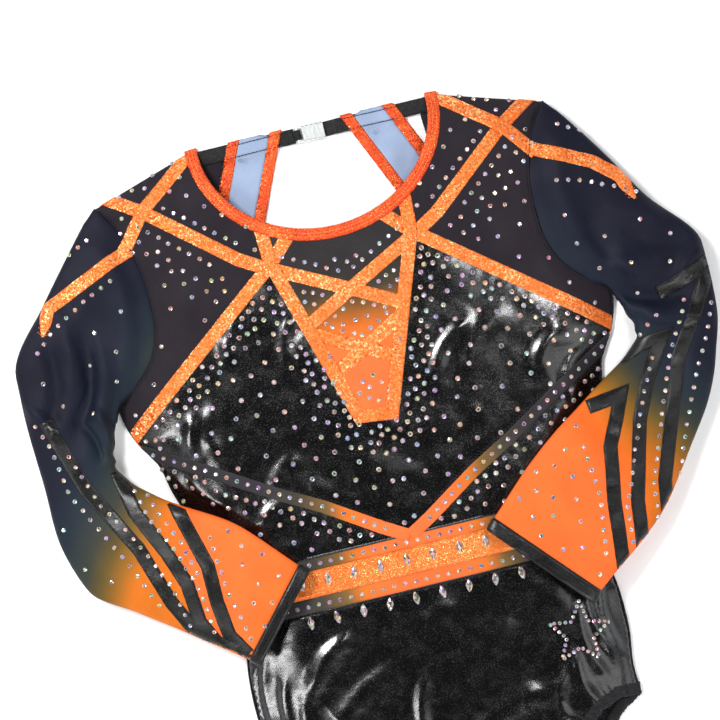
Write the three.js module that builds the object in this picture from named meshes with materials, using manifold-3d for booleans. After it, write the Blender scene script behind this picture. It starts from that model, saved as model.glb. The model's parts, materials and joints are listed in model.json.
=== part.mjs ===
// A long-sleeved cheer uniform laid flat on its back with its front up, in millimetres.
// +X is the wearer's left, +Y runs from the crotch to the neck, +Z is up. Outlines are written
// from the middle of the neck line, and one group moves them to the part's own origin.
import * as THREE from 'three';
import { mergeVertices } from 'three/addons/utils/BufferGeometryUtils.js';
import Module from 'manifold-3d';

const wasm = await Module();
wasm.setup();

// ---- Driving dimensions ---------------------------------------------------------------

const NECK_ABOVE_MIDDLE = 282;
const CLOTH = 1.2;
const SEAM_GAP = 0.3;
const TAPE_THICK = 0.6;
const TAPE_WIDE = 9.5;
const STRIP_WIDE = 9;
const SEAM_HEIGHT = 1.5;
const FRONT_LOFT = 15;
const SIDE_RUN = 46;
const SHOULDER_RUN = 40;
const CROTCH_RUN = 60;
const CROTCH_Y = -565;
const NECK_INNER = [82, 73];
const NECK_BINDING_WIDE = 8.5;
const WAIST_TOP = -294;
const WAIST_BAND_TOP = -302;
const WAIST_BAND_BOTTOM = -320.5;
const WAIST_BOTTOM = -330.5;
const LEG_ELASTIC_WIDE = 7;
const FOIL_STRIPE_WIDE = 10;
const ELASTIC_WIDE = 10.5;
const ELASTIC_Y = -5;
const CLASP_BAR = { x: -11, z: 2.4, radius: 1 };

// ---- Colours --------------------------------------------------------------------------

const cloth = (color, roughness, metalness = 0) =>
  new THREE.MeshStandardMaterial({ color, roughness, metalness });
const FOIL = () => cloth(0x0b0b0d, 0.3, 0.3);
const MESH = () => cloth(0x2a2430, 0.85);
const ORANGE_TAPE = () => cloth(0xf26322, 0.4, 0.4);
const PRINTED = () => cloth(0xe8842f, 0.7);
const SLEEVE = () => cloth(0x20263a, 0.85);
const PALE_LINING = () => cloth(0x93aed2, 0.8);
const ELASTIC = () => cloth(0x101012, 0.75);
const CLEAR = () => cloth(0xe4ecec, 0.15);

// ---- Solids ---------------------------------------------------------------------------

/** Turns a closed geometry into a solid that can be cut and joined. */
function toSolid(geometry) {
  const bare = geometry.clone();
  bare.deleteAttribute('normal');
  bare.deleteAttribute('uv');
  const merged = mergeVertices(bare, 1e-4);
  return new wasm.Manifold(new wasm.Mesh({
    numProp: 3,
    vertProperties: new Float32Array(merged.attributes.position.array),
    triVerts: new Uint32Array(merged.index.array),
  }));
}

/** Turns a solid back into a geometry. */
function toGeometry(solid) {
  const { vertProperties, triVerts } = solid.getMesh();
  const geometry = new THREE.BufferGeometry();
  geometry.setAttribute('position', new THREE.BufferAttribute(new Float32Array(vertProperties), 3));
  geometry.setIndex(new THREE.BufferAttribute(new Uint32Array(triVerts), 1));
  geometry.computeVertexNormals();
  return geometry;
}

/** An upright prism over a plan outline. */
function prism(outline, low = -5, high = 90) {
  const shape = new THREE.Shape(outline.map(([x, y]) => new THREE.Vector2(x, y)));
  const geometry = new THREE.ExtrudeGeometry(shape, { depth: high - low, bevelEnabled: false });
  return toSolid(geometry.translate(0, 0, low));
}

/** A box between two corners. */
function block([x0, y0, z0], [x1, y1, z1]) {
  const geometry = new THREE.BoxGeometry(x1 - x0, y1 - y0, z1 - z0);
  return toSolid(geometry.translate((x0 + x1) / 2, (y0 + y1) / 2, (z0 + z1) / 2));
}

/** The outline of a band of even width that follows a line. */
function ribbon(line, wide) {
  const points = line.map(([x, y]) => new THREE.Vector2(x, y));
  const heading = (i) => points[i + 1].clone().sub(points[i]).normalize();
  const sides = points.map((point, i) => {
    const before = heading(Math.max(i - 1, 0));
    const after = heading(Math.min(i, points.length - 2));
    const along = before.clone().add(after).normalize();
    const reach = wide / 2 / along.dot(after);
    const across = new THREE.Vector2(-along.y, along.x).multiplyScalar(reach);
    return [point.clone().add(across), point.clone().sub(across)];
  });
  const left = sides.map(([a]) => [a.x, a.y]);
  const right = sides.map(([, b]) => [b.x, b.y]);
  return [...left, ...right.reverse()];
}

const band = (line, wide) => prism(ribbon(line, wide));
const onSide = (side, line) => line.map(([x, y, ...rest]) => [side * x, y, ...rest]);
const mirrored = (line) => onSide(-1, line).reverse();

/** A smooth line through a few points. */
function smooth(points, pieces) {
  const curve = new THREE.SplineCurve(points.map(([x, y]) => new THREE.Vector2(x, y)));
  return curve.getSpacedPoints(pieces).map(({ x, y }) => [x, y]);
}

/** Takes tools away from a solid one after another. */
const cut = (solid, ...tools) => tools.reduce((rest, tool) => rest.subtract(tool), solid);

// ---- Outlines of the left half, from the middle of the neck line -----------------------

const SHOULDER = [[90, 0], [160, -22]];
const ARMHOLE = smooth([[160, -22], [148, -41], [139, -67], [136.5, -97], [138, -115],
  [146, -135], [160, -150], [177, -161]], 14);
const SIDE_SEAM = [[177, -161], [176, -170], [170, -188], [159, -206], [154, -227], [143, -258],
  [130, -290], [126, -312], [128, -335], [132.5, -365], [133, -395], [130, -420], [131, -440]];
const FRONT_LEG = [[131, -440], [116, -438], [101, -443], [90, -452], [76, -470], [62, -492],
  [50, -516], [40, -540], [33, CROTCH_Y]];
const BACK_LEG = [[131, -440], [116, -449], [103, -463], [90, -481], [76, -502], [62, -524],
  [48, -545], [33, CROTCH_Y]];

const NODE = [50, -89];
const V_LINE = [[51.4, -55], NODE, [10.8, -209]];
const YOKE_LINE = [[174, -185.5], [65, -100.5], NODE];
const YOKE_TAPE = [[178, -188.6], [65, -100.5], NODE, [34, -73]];
const CROSS_TAPE = [[156, -14], [127.7, -33], [71, -80.5], [55, -90], [0, -118.3], [-33.5, -136.2]];
const SHOULDER_TAPE = [[80, 6], [112.5, -20], [128, -32], [150, -62]];
const LATTICE_TAPE = [[42, -137.5], [-32, -178]];
const STRIP_LINE = [[174, -191.5], [129, -216.5], [84, -244], [54, -260.5], [17, -284.5], [4, -292.5]];
const BACK_STRAP = { from: [39.5, 3], to: [110, -156.5], cloth: 19, binding: 8 };

/** The half outline of the whole front or back, down the left side. */
const halfBody = (leg) => [...SHOULDER, ...ARMHOLE.slice(1), ...SIDE_SEAM.slice(1), ...leg.slice(1)];
const wholeBody = (leg) => [...halfBody(leg), ...mirrored(halfBody(leg))];

/** An ellipse about the middle of the neck line. */
function neckEllipse(grow, pieces = 36) {
  const [across, down] = NECK_INNER;
  return Array.from({ length: pieces }, (_, i) => {
    const turn = (i / pieces) * 2 * Math.PI;
    return [(across + grow) * Math.cos(turn), (down + grow) * Math.sin(turn)];
  });
}

// ---- The arched front -------------------------------------------------------------------

/** Reads a value off a table of [y, value] rows that fall in y. */
function readTable(rows, y) {
  const next = rows.findIndex(([rowY]) => rowY <= y);
  if (next === 0) return rows[0][1];
  if (next === -1) return rows.at(-1)[1];
  const [[y0, v0], [y1, v1]] = [rows[next - 1], rows[next]];
  return v0 + ((v1 - v0) * (y - y0)) / (y1 - y0);
}

const ARCH_EDGE = [[-100, 215], [-150, 192], ...SIDE_SEAM.slice(1).map(([x, y]) => [y, x])];
const swell = (t) => Math.sin((Math.PI / 2) * Math.min(Math.max(t, 0), 1));

/** The height of the front's underside over the table. */
function frontRise(x, y) {
  const fromSide = readTable(ARCH_EDGE, y) - Math.abs(x);
  const fromShoulder = -(Math.abs(x) - SHOULDER[0][0]) * 0.3 - (y - SHOULDER[0][1]) * 0.954;
  const fromCrotch = y - CROTCH_Y;
  return SEAM_HEIGHT + FRONT_LOFT * swell(fromSide / SIDE_RUN)
    * swell(fromShoulder / SHOULDER_RUN) * swell(fromCrotch / CROTCH_RUN);
}

const HALF_GRID = [0, 48, 88, 112, 130, 144, 157, 170, 184, 200];
const GRID_X = [...HALF_GRID.slice(1).map((x) => -x).reverse(), ...HALF_GRID];
const GRID_Y = [12, 2, -8, -18, -30, -45, -70, -100, -130, -160, -185, -210, -235, -262, -290,
  -312, -335, -365, -400, -435, -460, -485, -505, -525, -542, -555, -566, -575];

/** A sheet that keeps between two heights over the front's underside. */
function frontSheet(low, high) {
  const columns = GRID_X.length;
  const perSide = columns * GRID_Y.length;
  const positions = [high, low].flatMap((offset) => GRID_Y.flatMap((y) =>
    GRID_X.flatMap((x) => [x, y, frontRise(x, y) + offset])));
  const index = [];
  const quad = (a, b, c, d) => index.push(a, b, c, a, c, d);
  const at = (row, column) => row * columns + column;
  for (let row = 0; row < GRID_Y.length - 1; row += 1) {
    for (let column = 0; column < columns - 1; column += 1) {
      const [a, b] = [at(row, column), at(row, column + 1)];
      const [c, d] = [at(row + 1, column + 1), at(row + 1, column)];
      quad(a, d, c, b);
      quad(a + perSide, b + perSide, c + perSide, d + perSide);
    }
  }
  const last = GRID_Y.length - 1;
  for (let column = 0; column < columns - 1; column += 1) {
    quad(at(0, column), at(0, column + 1), at(0, column + 1) + perSide, at(0, column) + perSide);
    quad(at(last, column + 1), at(last, column), at(last, column) + perSide,
      at(last, column + 1) + perSide);
  }
  for (let row = 0; row < last; row += 1) {
    quad(at(row + 1, 0), at(row, 0), at(row, 0) + perSide, at(row + 1, 0) + perSide);
    const [upper, lower] = [at(row, columns - 1), at(row + 1, columns - 1)];
    quad(upper, lower, lower + perSide, upper + perSide);
  }
  const geometry = new THREE.BufferGeometry();
  geometry.setAttribute('position', new THREE.Float32BufferAttribute(positions, 3));
  geometry.setIndex(index);
  return toSolid(geometry);
}

const FRONT_AREA = prism(wholeBody(FRONT_LEG));
const BACK_AREA = prism(wholeBody(BACK_LEG));
const NECK_HOLE = prism(neckEllipse(0));
const NECK_BOUND = prism(neckEllipse(NECK_BINDING_WIDE + SEAM_GAP));
const tapeLevel = (level) => CLOTH + SEAM_GAP + (level - 1) * (TAPE_THICK + SEAM_GAP);

const frontCloth = frontSheet(0, CLOTH).intersect(FRONT_AREA);

/** A front panel: the arched cloth inside an outline, less its seams. */
const frontPanel = (outline, ...seams) => cut(frontCloth.intersect(prism(outline)), ...seams);

/** A tape on the front, on one of the levels that let tapes cross. */
function frontTape(line, level, wide = TAPE_WIDE, ...removed) {
  const low = tapeLevel(level);
  const sheet = frontSheet(low, low + TAPE_THICK).intersect(FRONT_AREA);
  return cut(sheet.intersect(band(line, wide)), NECK_BOUND, ...removed);
}

/** A flat piece of the back, which lies on the table. */
const backPanel = (outline, ...seams) =>
  cut(prism(outline, 0, CLOTH).intersect(BACK_AREA), ...seams);

const seam = (line) => band(line, SEAM_GAP);
const bothSides = (make) => [1, -1].map(make);

// ---- Front of the body ------------------------------------------------------------------

const OUT = 215;
const waistCut = (y) => seam([[-OUT, y], [OUT, y]]);
const BELOW_WAIST_TOP = prism([[-OUT, WAIST_TOP], [OUT, WAIST_TOP], [OUT, -320], [-OUT, -320]]);
const V_SEAMS = bothSides((side) => seam(onSide(side, V_LINE)));
const YOKE_SEAMS = bothSides((side) => seam(onSide(side, YOKE_LINE)));
const STRIP_SEAMS = bothSides((side) => seam(onSide(side, STRIP_LINE)));

function makeFrontPanel() {
  const half = [NODE, [65, -100.5], [178, -188.6], ...STRIP_LINE.slice(0, -1), [0, -294.5]];
  return frontPanel([...half, ...mirrored(half.slice(0, -1)), [-10.8, -209], [10.8, -209]],
    ...V_SEAMS, ...YOKE_SEAMS, ...STRIP_SEAMS, seam([[-12, -209], [12, -209]]), BELOW_WAIST_TOP);
}

function makeYoke(side) {
  const outline = [[51.4, 20], [51.4, -55], NODE, [65, -100.5], [178, -188.6], [OUT, -188], [OUT, 20]];
  return frontPanel(onSide(side, outline), NECK_BOUND, ...V_SEAMS, ...YOKE_SEAMS);
}

const HALF_V = [[51.4, -30], ...V_LINE];
const V_OUTLINE = [...HALF_V, ...mirrored(HALF_V)];
const makeVInsert = () =>
  frontPanel(V_OUTLINE, NECK_BOUND, ...V_SEAMS, seam([[-12, -209], [12, -209]]));

/** A lattice tape inside the V, between the two V tapes. */
function makeLatticeTape(side, level) {
  const betweenTapes = bothSides((edge) => band(onSide(edge, V_LINE), TAPE_WIDE + 2 * SEAM_GAP));
  return frontTape(onSide(side, LATTICE_TAPE), level, TAPE_WIDE, ...betweenTapes)
    .intersect(prism(V_OUTLINE));
}

function makeLowerSide(side) {
  const outline = [[0, -294.5], ...STRIP_LINE.slice(0, -1).reverse(), [OUT, -195],
    [OUT, -300], [0, -300]];
  return frontPanel(onSide(side, outline), ...STRIP_SEAMS, waistCut(WAIST_TOP), BELOW_WAIST_TOP);
}

function makeStrip(side) {
  const pastMiddle = onSide(-side, [[-SEAM_GAP / 2, -200], [40, -200], [40, -320], [-SEAM_GAP / 2, -320]]);
  return frontTape(onSide(side, STRIP_LINE), 1, STRIP_WIDE, prism(pastMiddle), BELOW_WAIST_TOP);
}

function makeWaistPiece(top, bottom) {
  return frontPanel([[-OUT, top], [OUT, top], [OUT, bottom], [-OUT, bottom]],
    waistCut(top), waistCut(bottom));
}

// ---- Legs -------------------------------------------------------------------------------

/** The bound edge of one leg opening: a front band and a back band joined at both ends. */
function legElastic(side, grow) {
  const zone = (leg) => band(onSide(side, leg), 2 * (LEG_ELASTIC_WIDE + grow));
  const front = frontSheet(-grow, CLOTH + 0.4 + grow).intersect(FRONT_AREA).intersect(zone(FRONT_LEG));
  const back = prism(wholeBody(BACK_LEG), -grow, CLOTH + grow).intersect(zone(BACK_LEG));
  const ends = [[[123, -441, 0], [131.2, -434, 3.4]], [[26, CROTCH_Y, 0], [33, -557, 3.1]]];
  const joins = ends.map(([[x0, y0, z0], [x1, y1, z1]]) => {
    const [low, high] = side > 0 ? [x0, x1] : [-x1, -x0];
    return block([low - grow, y0 - grow, z0 - grow], [high + grow, y1 + grow, z1 + grow]);
  });
  return joins.reduce((whole, join) => whole.add(join), front.add(back));
}

const LEG_ROOM = bothSides((side) => legElastic(side, SEAM_GAP));

function makeBriefFront() {
  const outline = [[-OUT, WAIST_BOTTOM], [OUT, WAIST_BOTTOM], [OUT, CROTCH_Y], [-OUT, CROTCH_Y]];
  return frontPanel(outline, waistCut(WAIST_BOTTOM), ...LEG_ROOM);
}

function makeBriefBack() {
  const outline = [[-OUT, WAIST_BOTTOM], [OUT, WAIST_BOTTOM], [OUT, CROTCH_Y], [-OUT, CROTCH_Y]];
  return backPanel(outline, waistCut(WAIST_BOTTOM), ...LEG_ROOM);
}

const makeGussetLining = () => block([-21, -550, 1.5], [21, -488, 2.1]);
const makeCareLabel = () => block([-126, -282, 1.5], [-104, -250, 1.9]);

// ---- Back of the body -------------------------------------------------------------------

const BACK_TOP = -154;
const BACK_YOKE_EDGE = {
  left: [[96, 20], [76, -12], [79, -60], [100, BACK_TOP]],
  right: [[96, 20], [58, -6], [79, -60], [100, BACK_TOP]],
};
const strapLine = (side, shift) => onSide(side, [BACK_STRAP.from, BACK_STRAP.to]
  .map(([x, y]) => [x + shift, y]));
const STRAP_PAST_ENDS = [[35.1, 13], [112.4, -162]];
const STRAP_LEAN = Math.hypot(BACK_STRAP.to[0] - BACK_STRAP.from[0],
  BACK_STRAP.to[1] - BACK_STRAP.from[1]) / (BACK_STRAP.from[1] - BACK_STRAP.to[1]);
const STRAP_WIDE = BACK_STRAP.cloth + 2 * (BACK_STRAP.binding + SEAM_GAP);
const strapRoom = (side) => band(onSide(side, STRAP_PAST_ENDS), STRAP_WIDE + 2 * SEAM_GAP);
const BELOW_TOP_EDGE = prism([[-OUT, 1], [OUT, 1], [OUT, BACK_TOP + 0.3], [-OUT, BACK_TOP + 0.3]]);

function makeBackStrap(side) {
  const solid = prism(ribbon(strapLine(side, 0), BACK_STRAP.cloth), 0, CLOTH);
  return solid.intersect(BELOW_TOP_EDGE);
}

function makeStrapBinding(side, edge) {
  const shift = edge * (BACK_STRAP.cloth + BACK_STRAP.binding + 2 * SEAM_GAP) / 2 * STRAP_LEAN;
  const solid = prism(ribbon(strapLine(side, shift), BACK_STRAP.binding), 0, CLOTH);
  return solid.intersect(BELOW_TOP_EDGE);
}

function makeBackYoke(side) {
  const inner = side > 0 ? BACK_YOKE_EDGE.left : BACK_YOKE_EDGE.right;
  const outline = onSide(side, [...inner, [OUT, BACK_TOP], [OUT, 20]]);
  return backPanel(outline, strapRoom(side), seam([[-OUT, BACK_TOP], [OUT, BACK_TOP]]));
}

function makeBackPanel() {
  const half = [[OUT, BACK_TOP], [74, BACK_TOP], [50, -165], [0, -170]];
  const outline = [[OUT, WAIST_TOP], ...half, ...mirrored(half.slice(0, -1)), [-OUT, WAIST_TOP]];
  return backPanel(outline, waistCut(WAIST_TOP), seam([[-OUT, BACK_TOP], [OUT, BACK_TOP]]));
}

const makeBackWaistband = () => backPanel([[-OUT, WAIST_TOP], [OUT, WAIST_TOP],
  [OUT, WAIST_BOTTOM], [-OUT, WAIST_BOTTOM]], waistCut(WAIST_TOP), waistCut(WAIST_BOTTOM));

// ---- Back neck closure --------------------------------------------------------------------

/** Extrudes a side profile, drawn in X and Z, along Y about the elastic's middle. */
function alongY(profile, wide, holes = []) {
  const asPath = (points) => points.map(([x, z]) => new THREE.Vector2(x, z));
  const shape = new THREE.Shape(asPath(profile));
  shape.holes = holes.map((points) => new THREE.Path(asPath(points)));
  const geometry = new THREE.ExtrudeGeometry(shape, { depth: wide, bevelEnabled: false });
  return toSolid(geometry.rotateX(Math.PI / 2).translate(0, ELASTIC_Y + wide / 2, 0));
}

/** The elastic whose end loops round the clasp's bar. */
function makeBarElastic() {
  const { x, z } = CLASP_BAR;
  const strap = alongY([[-81, 1.5], [x - 3.2, 1.5], [x - 3.2, 2.7], [-81, 2.7]], ELASTIC_WIDE);
  const neck = alongY([[x - 3.6, 1.5], [x - 1.9, 1.5], [x - 1.9, 2.7], [x - 3.6, 2.7]], 7);
  const around = (wide, high) => [[x - wide, z - high], [x + wide, z - high],
    [x + wide, z + high], [x - wide, z + high]];
  const loop = alongY(around(2.6, 2.2), 7, [around(1.8, 1.4)]);
  const inside = block([x - 1.8, ELASTIC_Y - 5, z - 1.4], [x + 1.8, ELASTIC_Y + 5, z + 1.4]);
  return strap.add(neck).subtract(inside).add(loop);
}

/** The elastic whose slotted end the clasp's tongue drops into. */
function makeSlotElastic() {
  const under = [[2.6, 0.2], [10, 0.2], [15, 1.5], [81, 1.5]];
  const over = [[81, 2.7], [14.6, 2.7], [9.6, 1.2], [2.6, 1.2]];
  const slot = block([4.4, ELASTIC_Y - 3.6, -1], [7.8, ELASTIC_Y + 3.6, 4]);
  return alongY([...under, ...over], ELASTIC_WIDE).subtract(slot);
}

/** The clear clasp: a framed plate, the round bar it turns on and the tongue. */
function makeClasp() {
  const { x, z, radius } = CLASP_BAR;
  const bar = toSolid(new THREE.CylinderGeometry(radius, radius, 12, 16).translate(x, ELASTIC_Y, z));
  const arms = [-5.05, 5.05].map((shift) => block([x, ELASTIC_Y + shift - 0.95, z - 0.9],
    [x + 6, ELASTIC_Y + shift + 0.95, z + 0.9]));
  const plate = block([x + 3.8, ELASTIC_Y - 6, z - 0.9], [8.2, ELASTIC_Y + 6, z + 0.9]);
  const tongue = block([5.2, ELASTIC_Y - 3, 0.4], [6.8, ELASTIC_Y + 3, z]);
  return [...arms, plate, tongue].reduce((whole, piece) => whole.add(piece), bar);
}

// ---- Sleeves --------------------------------------------------------------------------------

const SECTION_SIDES = 16;
const armholePoint = (t) => {
  const place = t * (ARMHOLE.length - 1);
  const i = Math.min(Math.floor(place), ARMHOLE.length - 2);
  const [[x0, y0], [x1, y1]] = [ARMHOLE[i], ARMHOLE[i + 1]];
  return [x0 + (x1 - x0) * (place - i) + 0.6, y0 + (y1 - y0) * (place - i)];
};

/** One cross-section: its two fold points in plan, the table side's heights and the loft. */
const section = (outer, inner, lowOuter, lowInner, high) => ({ outer, inner, lowOuter, lowInner, high });

/** A flattened tube through sections. Grow moves its wall out, and floor lifts its underside. */
function tube(side, sections, grow, floor = 0, overrun = 0) {
  const positions = [];
  sections.forEach((ring, index) => {
    const end = index === 0 ? -overrun : index === sections.length - 1 ? overrun : 0;
    for (let i = 0; i < SECTION_SIDES; i += 1) {
      const turn = ((i + 0.5) / SECTION_SIDES) * 2 * Math.PI;
      const wide = Math.sign(Math.cos(turn)) * Math.abs(Math.cos(turn)) ** 0.7;
      const tall = Math.sign(Math.sin(turn)) * Math.abs(Math.sin(turn)) ** 0.6;
      positions.push(...ringPoint(ring, wide, Math.max(tall, floor * 2 - 1), grow, end, side));
    }
  });
  const index = [];
  const rings = sections.length;
  const at = (ring, i) => ring * SECTION_SIDES + (i % SECTION_SIDES);
  for (let ring = 0; ring < rings - 1; ring += 1) {
    for (let i = 0; i < SECTION_SIDES; i += 1) {
      index.push(at(ring, i), at(ring, i + 1), at(ring + 1, i + 1));
      index.push(at(ring, i), at(ring + 1, i + 1), at(ring + 1, i));
    }
  }
  for (let i = 0; i < SECTION_SIDES / 2 - 1; i += 1) {
    const mirror = (k) => SECTION_SIDES - 1 - k;
    index.push(at(0, i), at(0, mirror(i)), at(0, mirror(i + 1)));
    index.push(at(0, i), at(0, mirror(i + 1)), at(0, i + 1));
    index.push(at(rings - 1, i), at(rings - 1, mirror(i + 1)), at(rings - 1, mirror(i)));
    index.push(at(rings - 1, i), at(rings - 1, i + 1), at(rings - 1, mirror(i + 1)));
  }
  const geometry = new THREE.BufferGeometry();
  geometry.setAttribute('position', new THREE.Float32BufferAttribute(positions, 3));
  geometry.setIndex(side > 0 ? index : index.reverse());
  return toSolid(geometry);
}

/** A point on a cross-section: wide runs from -1 inside to 1 outside, tall from -1 to 1. */
function ringPoint(ring, wide, tall, grow, end, side) {
  const [ox, oy] = ring.outer;
  const [ix, iy] = ring.inner;
  const span = Math.hypot(ox - ix, oy - iy);
  const reach = (wide * (span / 2 + grow)) / (span / 2);
  const t = (1 + reach) / 2;
  let x = ix + (ox - ix) * t;
  let y = iy + (oy - iy) * t;
  if (ring.onArmhole) [x, y] = armholePoint(1 - Math.min(Math.max(t, 0), 1));
  const ahead = [(oy - iy) / span, -(ox - ix) / span];
  x += ahead[0] * end;
  y += ahead[1] * end;
  const low = ring.lowInner + (ring.lowOuter - ring.lowInner) * Math.min(Math.max(t, 0), 1);
  const z = low + ring.high / 2 + tall * (ring.high / 2 + grow);
  return [side * x, y, z];
}

const ARMHOLE_SECTION = { ...section([160.6, -22], [177.6, -161], 0, 0, 17), onArmhole: true };

const SLEEVES = {
  left: {
    side: 1,
    upper: [ARMHOLE_SECTION,
      section([190, -60], [179.5, -172], 0, 0, 19), section([213, -102], [183, -181], 0, 0, 21),
      section([245, -144], [185.5, -190], 0, 0, 22), section([244.3, -189.2], [186, -195.2], 0, 0, 22)],
    fore: [section([244.2, -190], [186, -196], 0, 0, 22), section([236, -222], [176, -207], 0, 1.5, 21),
      section([223.5, -252], [157.5, -219], 0.5, 10, 19), section([206, -277], [135, -233], 3, 19, 17),
      section([174, -319], [98, -259], 8, 21.5, 15), section([119, -361], [59, -295], 19.5, 21.5, 12.5)],
    cuffEnd: section([112, -369], [52, -302], 19.2, 21.5, 12),
    shoulderTape: [[138, -50], [148, -55], [183, -72], [203, -85], [212, -104]],
    stripes: [
      [[206, -172], [219, -168], [240, -160], [247, -157], [227, -190], [209, -218], [194, -258],
        [180, -298], [176, -330]],
      [[169, -209], [186, -203], [201, -202], [183, -229], [172, -253], [158, -307], [154, -345]],
      [[139, -236], [163, -233], [148, -266], [142, -303], [138, -350]],
    ],
  },
  right: {
    side: -1,
    upper: [ARMHOLE_SECTION,
      section([189, -45], [180, -170], 0, 0, 19), section([216, -79], [184.5, -182], 0, 0, 21),
      section([243, -126], [187, -192], 0, 0, 22), section([239.6, -205.2], [187.6, -200.2], 0, 0, 22)],
    fore: [section([239.5, -206], [187.5, -201], 0, 0, 22), section([238, -240], [181, -212], 0, 1, 21),
      section([226, -281], [166, -225], 0, 8, 19), section([197, -302], [146, -238], 2, 17, 17),
      section([168.5, -322], [119, -254], 7, 21.5, 15),
      section([128, -350.5], [79.5, -295], 19.2, 21.5, 12.5)],
    cuffEnd: section([121, -356], [73, -301], 19.2, 21.5, 12),
    shoulderTape: [[142, -56], [156, -61], [209, -81], [219, -102]],
    stripes: [
      [[222, -150], [223, -165], [210, -211], [184, -259], [171, -300], [165, -317]],
      [[187, -203], [181, -233], [166, -265], [157, -290], [155, -317], [143, -342]],
      [[153, -232], [146, -259], [140, -281], [140, -307], [137, -331], [124, -352]],
    ],
  },
};

/** The thin shell over a sleeve's upper side, where applied tapes lie. */
function upperShell(side, sections, overrun = 0) {
  const over = tube(side, sections, SEAM_GAP + 0.1 + TAPE_THICK, 0.5, overrun);
  return over.subtract(tube(side, sections, SEAM_GAP + 0.1, 0, overrun + 1));
}

const hollowTube = (side, sections) =>
  tube(side, sections, 0).subtract(tube(side, sections, -CLOTH, 0, 1));

/** The cuff's first section, a small gap past the end of the forearm. */
function cuffStart(from, toward) {
  const step = (a, b) => a.map((v, i) => v + (b[i] - v) * 0.05);
  return { ...from, outer: step(from.outer, toward.outer), inner: step(from.inner, toward.inner) };
}

// ---- Assembly ---------------------------------------------------------------------------------

const uniform = new THREE.Group();
uniform.position.set(0, NECK_ABOVE_MIDDLE, 0);

/** Adds one named piece. */
function addPiece(name, solid, material) {
  const mesh = new THREE.Mesh(toGeometry(solid), material);
  mesh.name = name;
  uniform.add(mesh);
}

addPiece('front_panel', makeFrontPanel(), FOIL());
addPiece('v_insert', makeVInsert(), PRINTED());
addPiece('v_point_tape', frontTape([[-11, -206.8], [11, -206.8]], 1, TAPE_WIDE), ORANGE_TAPE());
addPiece('waist_strip_upper', makeWaistPiece(WAIST_TOP, WAIST_BAND_TOP), PRINTED());
addPiece('waistband_front', makeWaistPiece(WAIST_BAND_TOP, WAIST_BAND_BOTTOM), ORANGE_TAPE());
addPiece('waist_strip_lower', makeWaistPiece(WAIST_BAND_BOTTOM, WAIST_BOTTOM), PRINTED());
addPiece('brief_front', makeBriefFront(), FOIL());

const bindingRing = frontSheet(0, tapeLevel(1) + TAPE_THICK).intersect(FRONT_AREA);
addPiece('neck_binding', cut(bindingRing.intersect(prism(neckEllipse(NECK_BINDING_WIDE))), NECK_HOLE),
  ORANGE_TAPE());

const belowPoint = prism([[-30, -211.5], [30, -211.5], [30, -240], [-30, -240]]);
for (const [name, side] of [['left', 1], ['right', -1]]) {
  const level = side > 0 ? 1 : 0;
  addPiece(`yoke_${name}`, makeYoke(side), MESH());
  addPiece(`lower_side_${name}`, makeLowerSide(side), FOIL());
  addPiece(`underbust_strip_${name}`, makeStrip(side), PRINTED());
  addPiece(`yoke_tape_${name}`, frontTape(onSide(side, YOKE_TAPE), 1), ORANGE_TAPE());
  addPiece(`v_tape_${name}`, frontTape(onSide(side, V_LINE), 2, TAPE_WIDE, belowPoint), ORANGE_TAPE());
  addPiece(`cross_tape_${name}`, frontTape(onSide(side, CROSS_TAPE), 3 + level), ORANGE_TAPE());
  addPiece(`shoulder_tape_${name}`, frontTape(onSide(side, SHOULDER_TAPE), 2), ORANGE_TAPE());
  addPiece(`lattice_tape_${name}`, makeLatticeTape(side, 1 + level), ORANGE_TAPE());
  addPiece(`leg_elastic_${name}`, legElastic(side, 0), ELASTIC());
  addPiece(`back_yoke_${name}`, makeBackYoke(side), MESH());
  addPiece(`back_strap_${name}`, makeBackStrap(side), PALE_LINING());
  addPiece(`back_strap_binding_outer_${name}`, makeStrapBinding(side, 1), ORANGE_TAPE());
  addPiece(`back_strap_binding_inner_${name}`, makeStrapBinding(side, -1), ORANGE_TAPE());
}

addPiece('back_panel', makeBackPanel(), FOIL());
addPiece('waistband_back', makeBackWaistband(), ORANGE_TAPE());
addPiece('brief_back', makeBriefBack(), FOIL());
addPiece('gusset_lining', makeGussetLining(), ELASTIC());
addPiece('care_label', makeCareLabel(), cloth(0xf2f2f0, 0.8));
addPiece('neck_elastic_right', makeBarElastic(), ELASTIC());
addPiece('neck_elastic_left', makeSlotElastic(), ELASTIC());
addPiece('neck_clasp', makeClasp(), CLEAR());

for (const [name, sleeve] of Object.entries(SLEEVES)) {
  const { side, upper, fore, cuffEnd } = sleeve;
  const forearmShell = upperShell(side, fore);
  const cuff = [cuffStart(fore.at(-1), cuffEnd), cuffEnd];
  addPiece(`sleeve_upper_${name}`, hollowTube(side, upper), SLEEVE());
  addPiece(`sleeve_forearm_${name}`, hollowTube(side, fore), PRINTED());
  addPiece(`cuff_binding_${name}`, hollowTube(side, cuff), FOIL());
  addPiece(`sleeve_shoulder_tape_${name}`, upperShell(side, upper)
    .intersect(band(onSide(side, sleeve.shoulderTape), TAPE_WIDE)), ORANGE_TAPE());
  sleeve.stripes.forEach((line, i) => addPiece(`sleeve_stripe_${name}_${i + 1}`,
    forearmShell.intersect(band(onSide(side, line), FOIL_STRIPE_WIDE)), FOIL()));
}

export default uniform;
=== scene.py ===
"""Looks of a long-sleeved cheer uniform that lies flat on its back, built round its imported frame.

Plan coordinates are millimetres from the middle of the neck line: x to the wearer's left, y towards
the shoulders. Heights are millimetres over the table. Shapes are made in those units and turned into
metres of the row frame when they become objects.
"""

import json
import logging
import math
import random
from collections.abc import Callable, Iterable, Sequence
from dataclasses import dataclass, field
from enum import Enum

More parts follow.
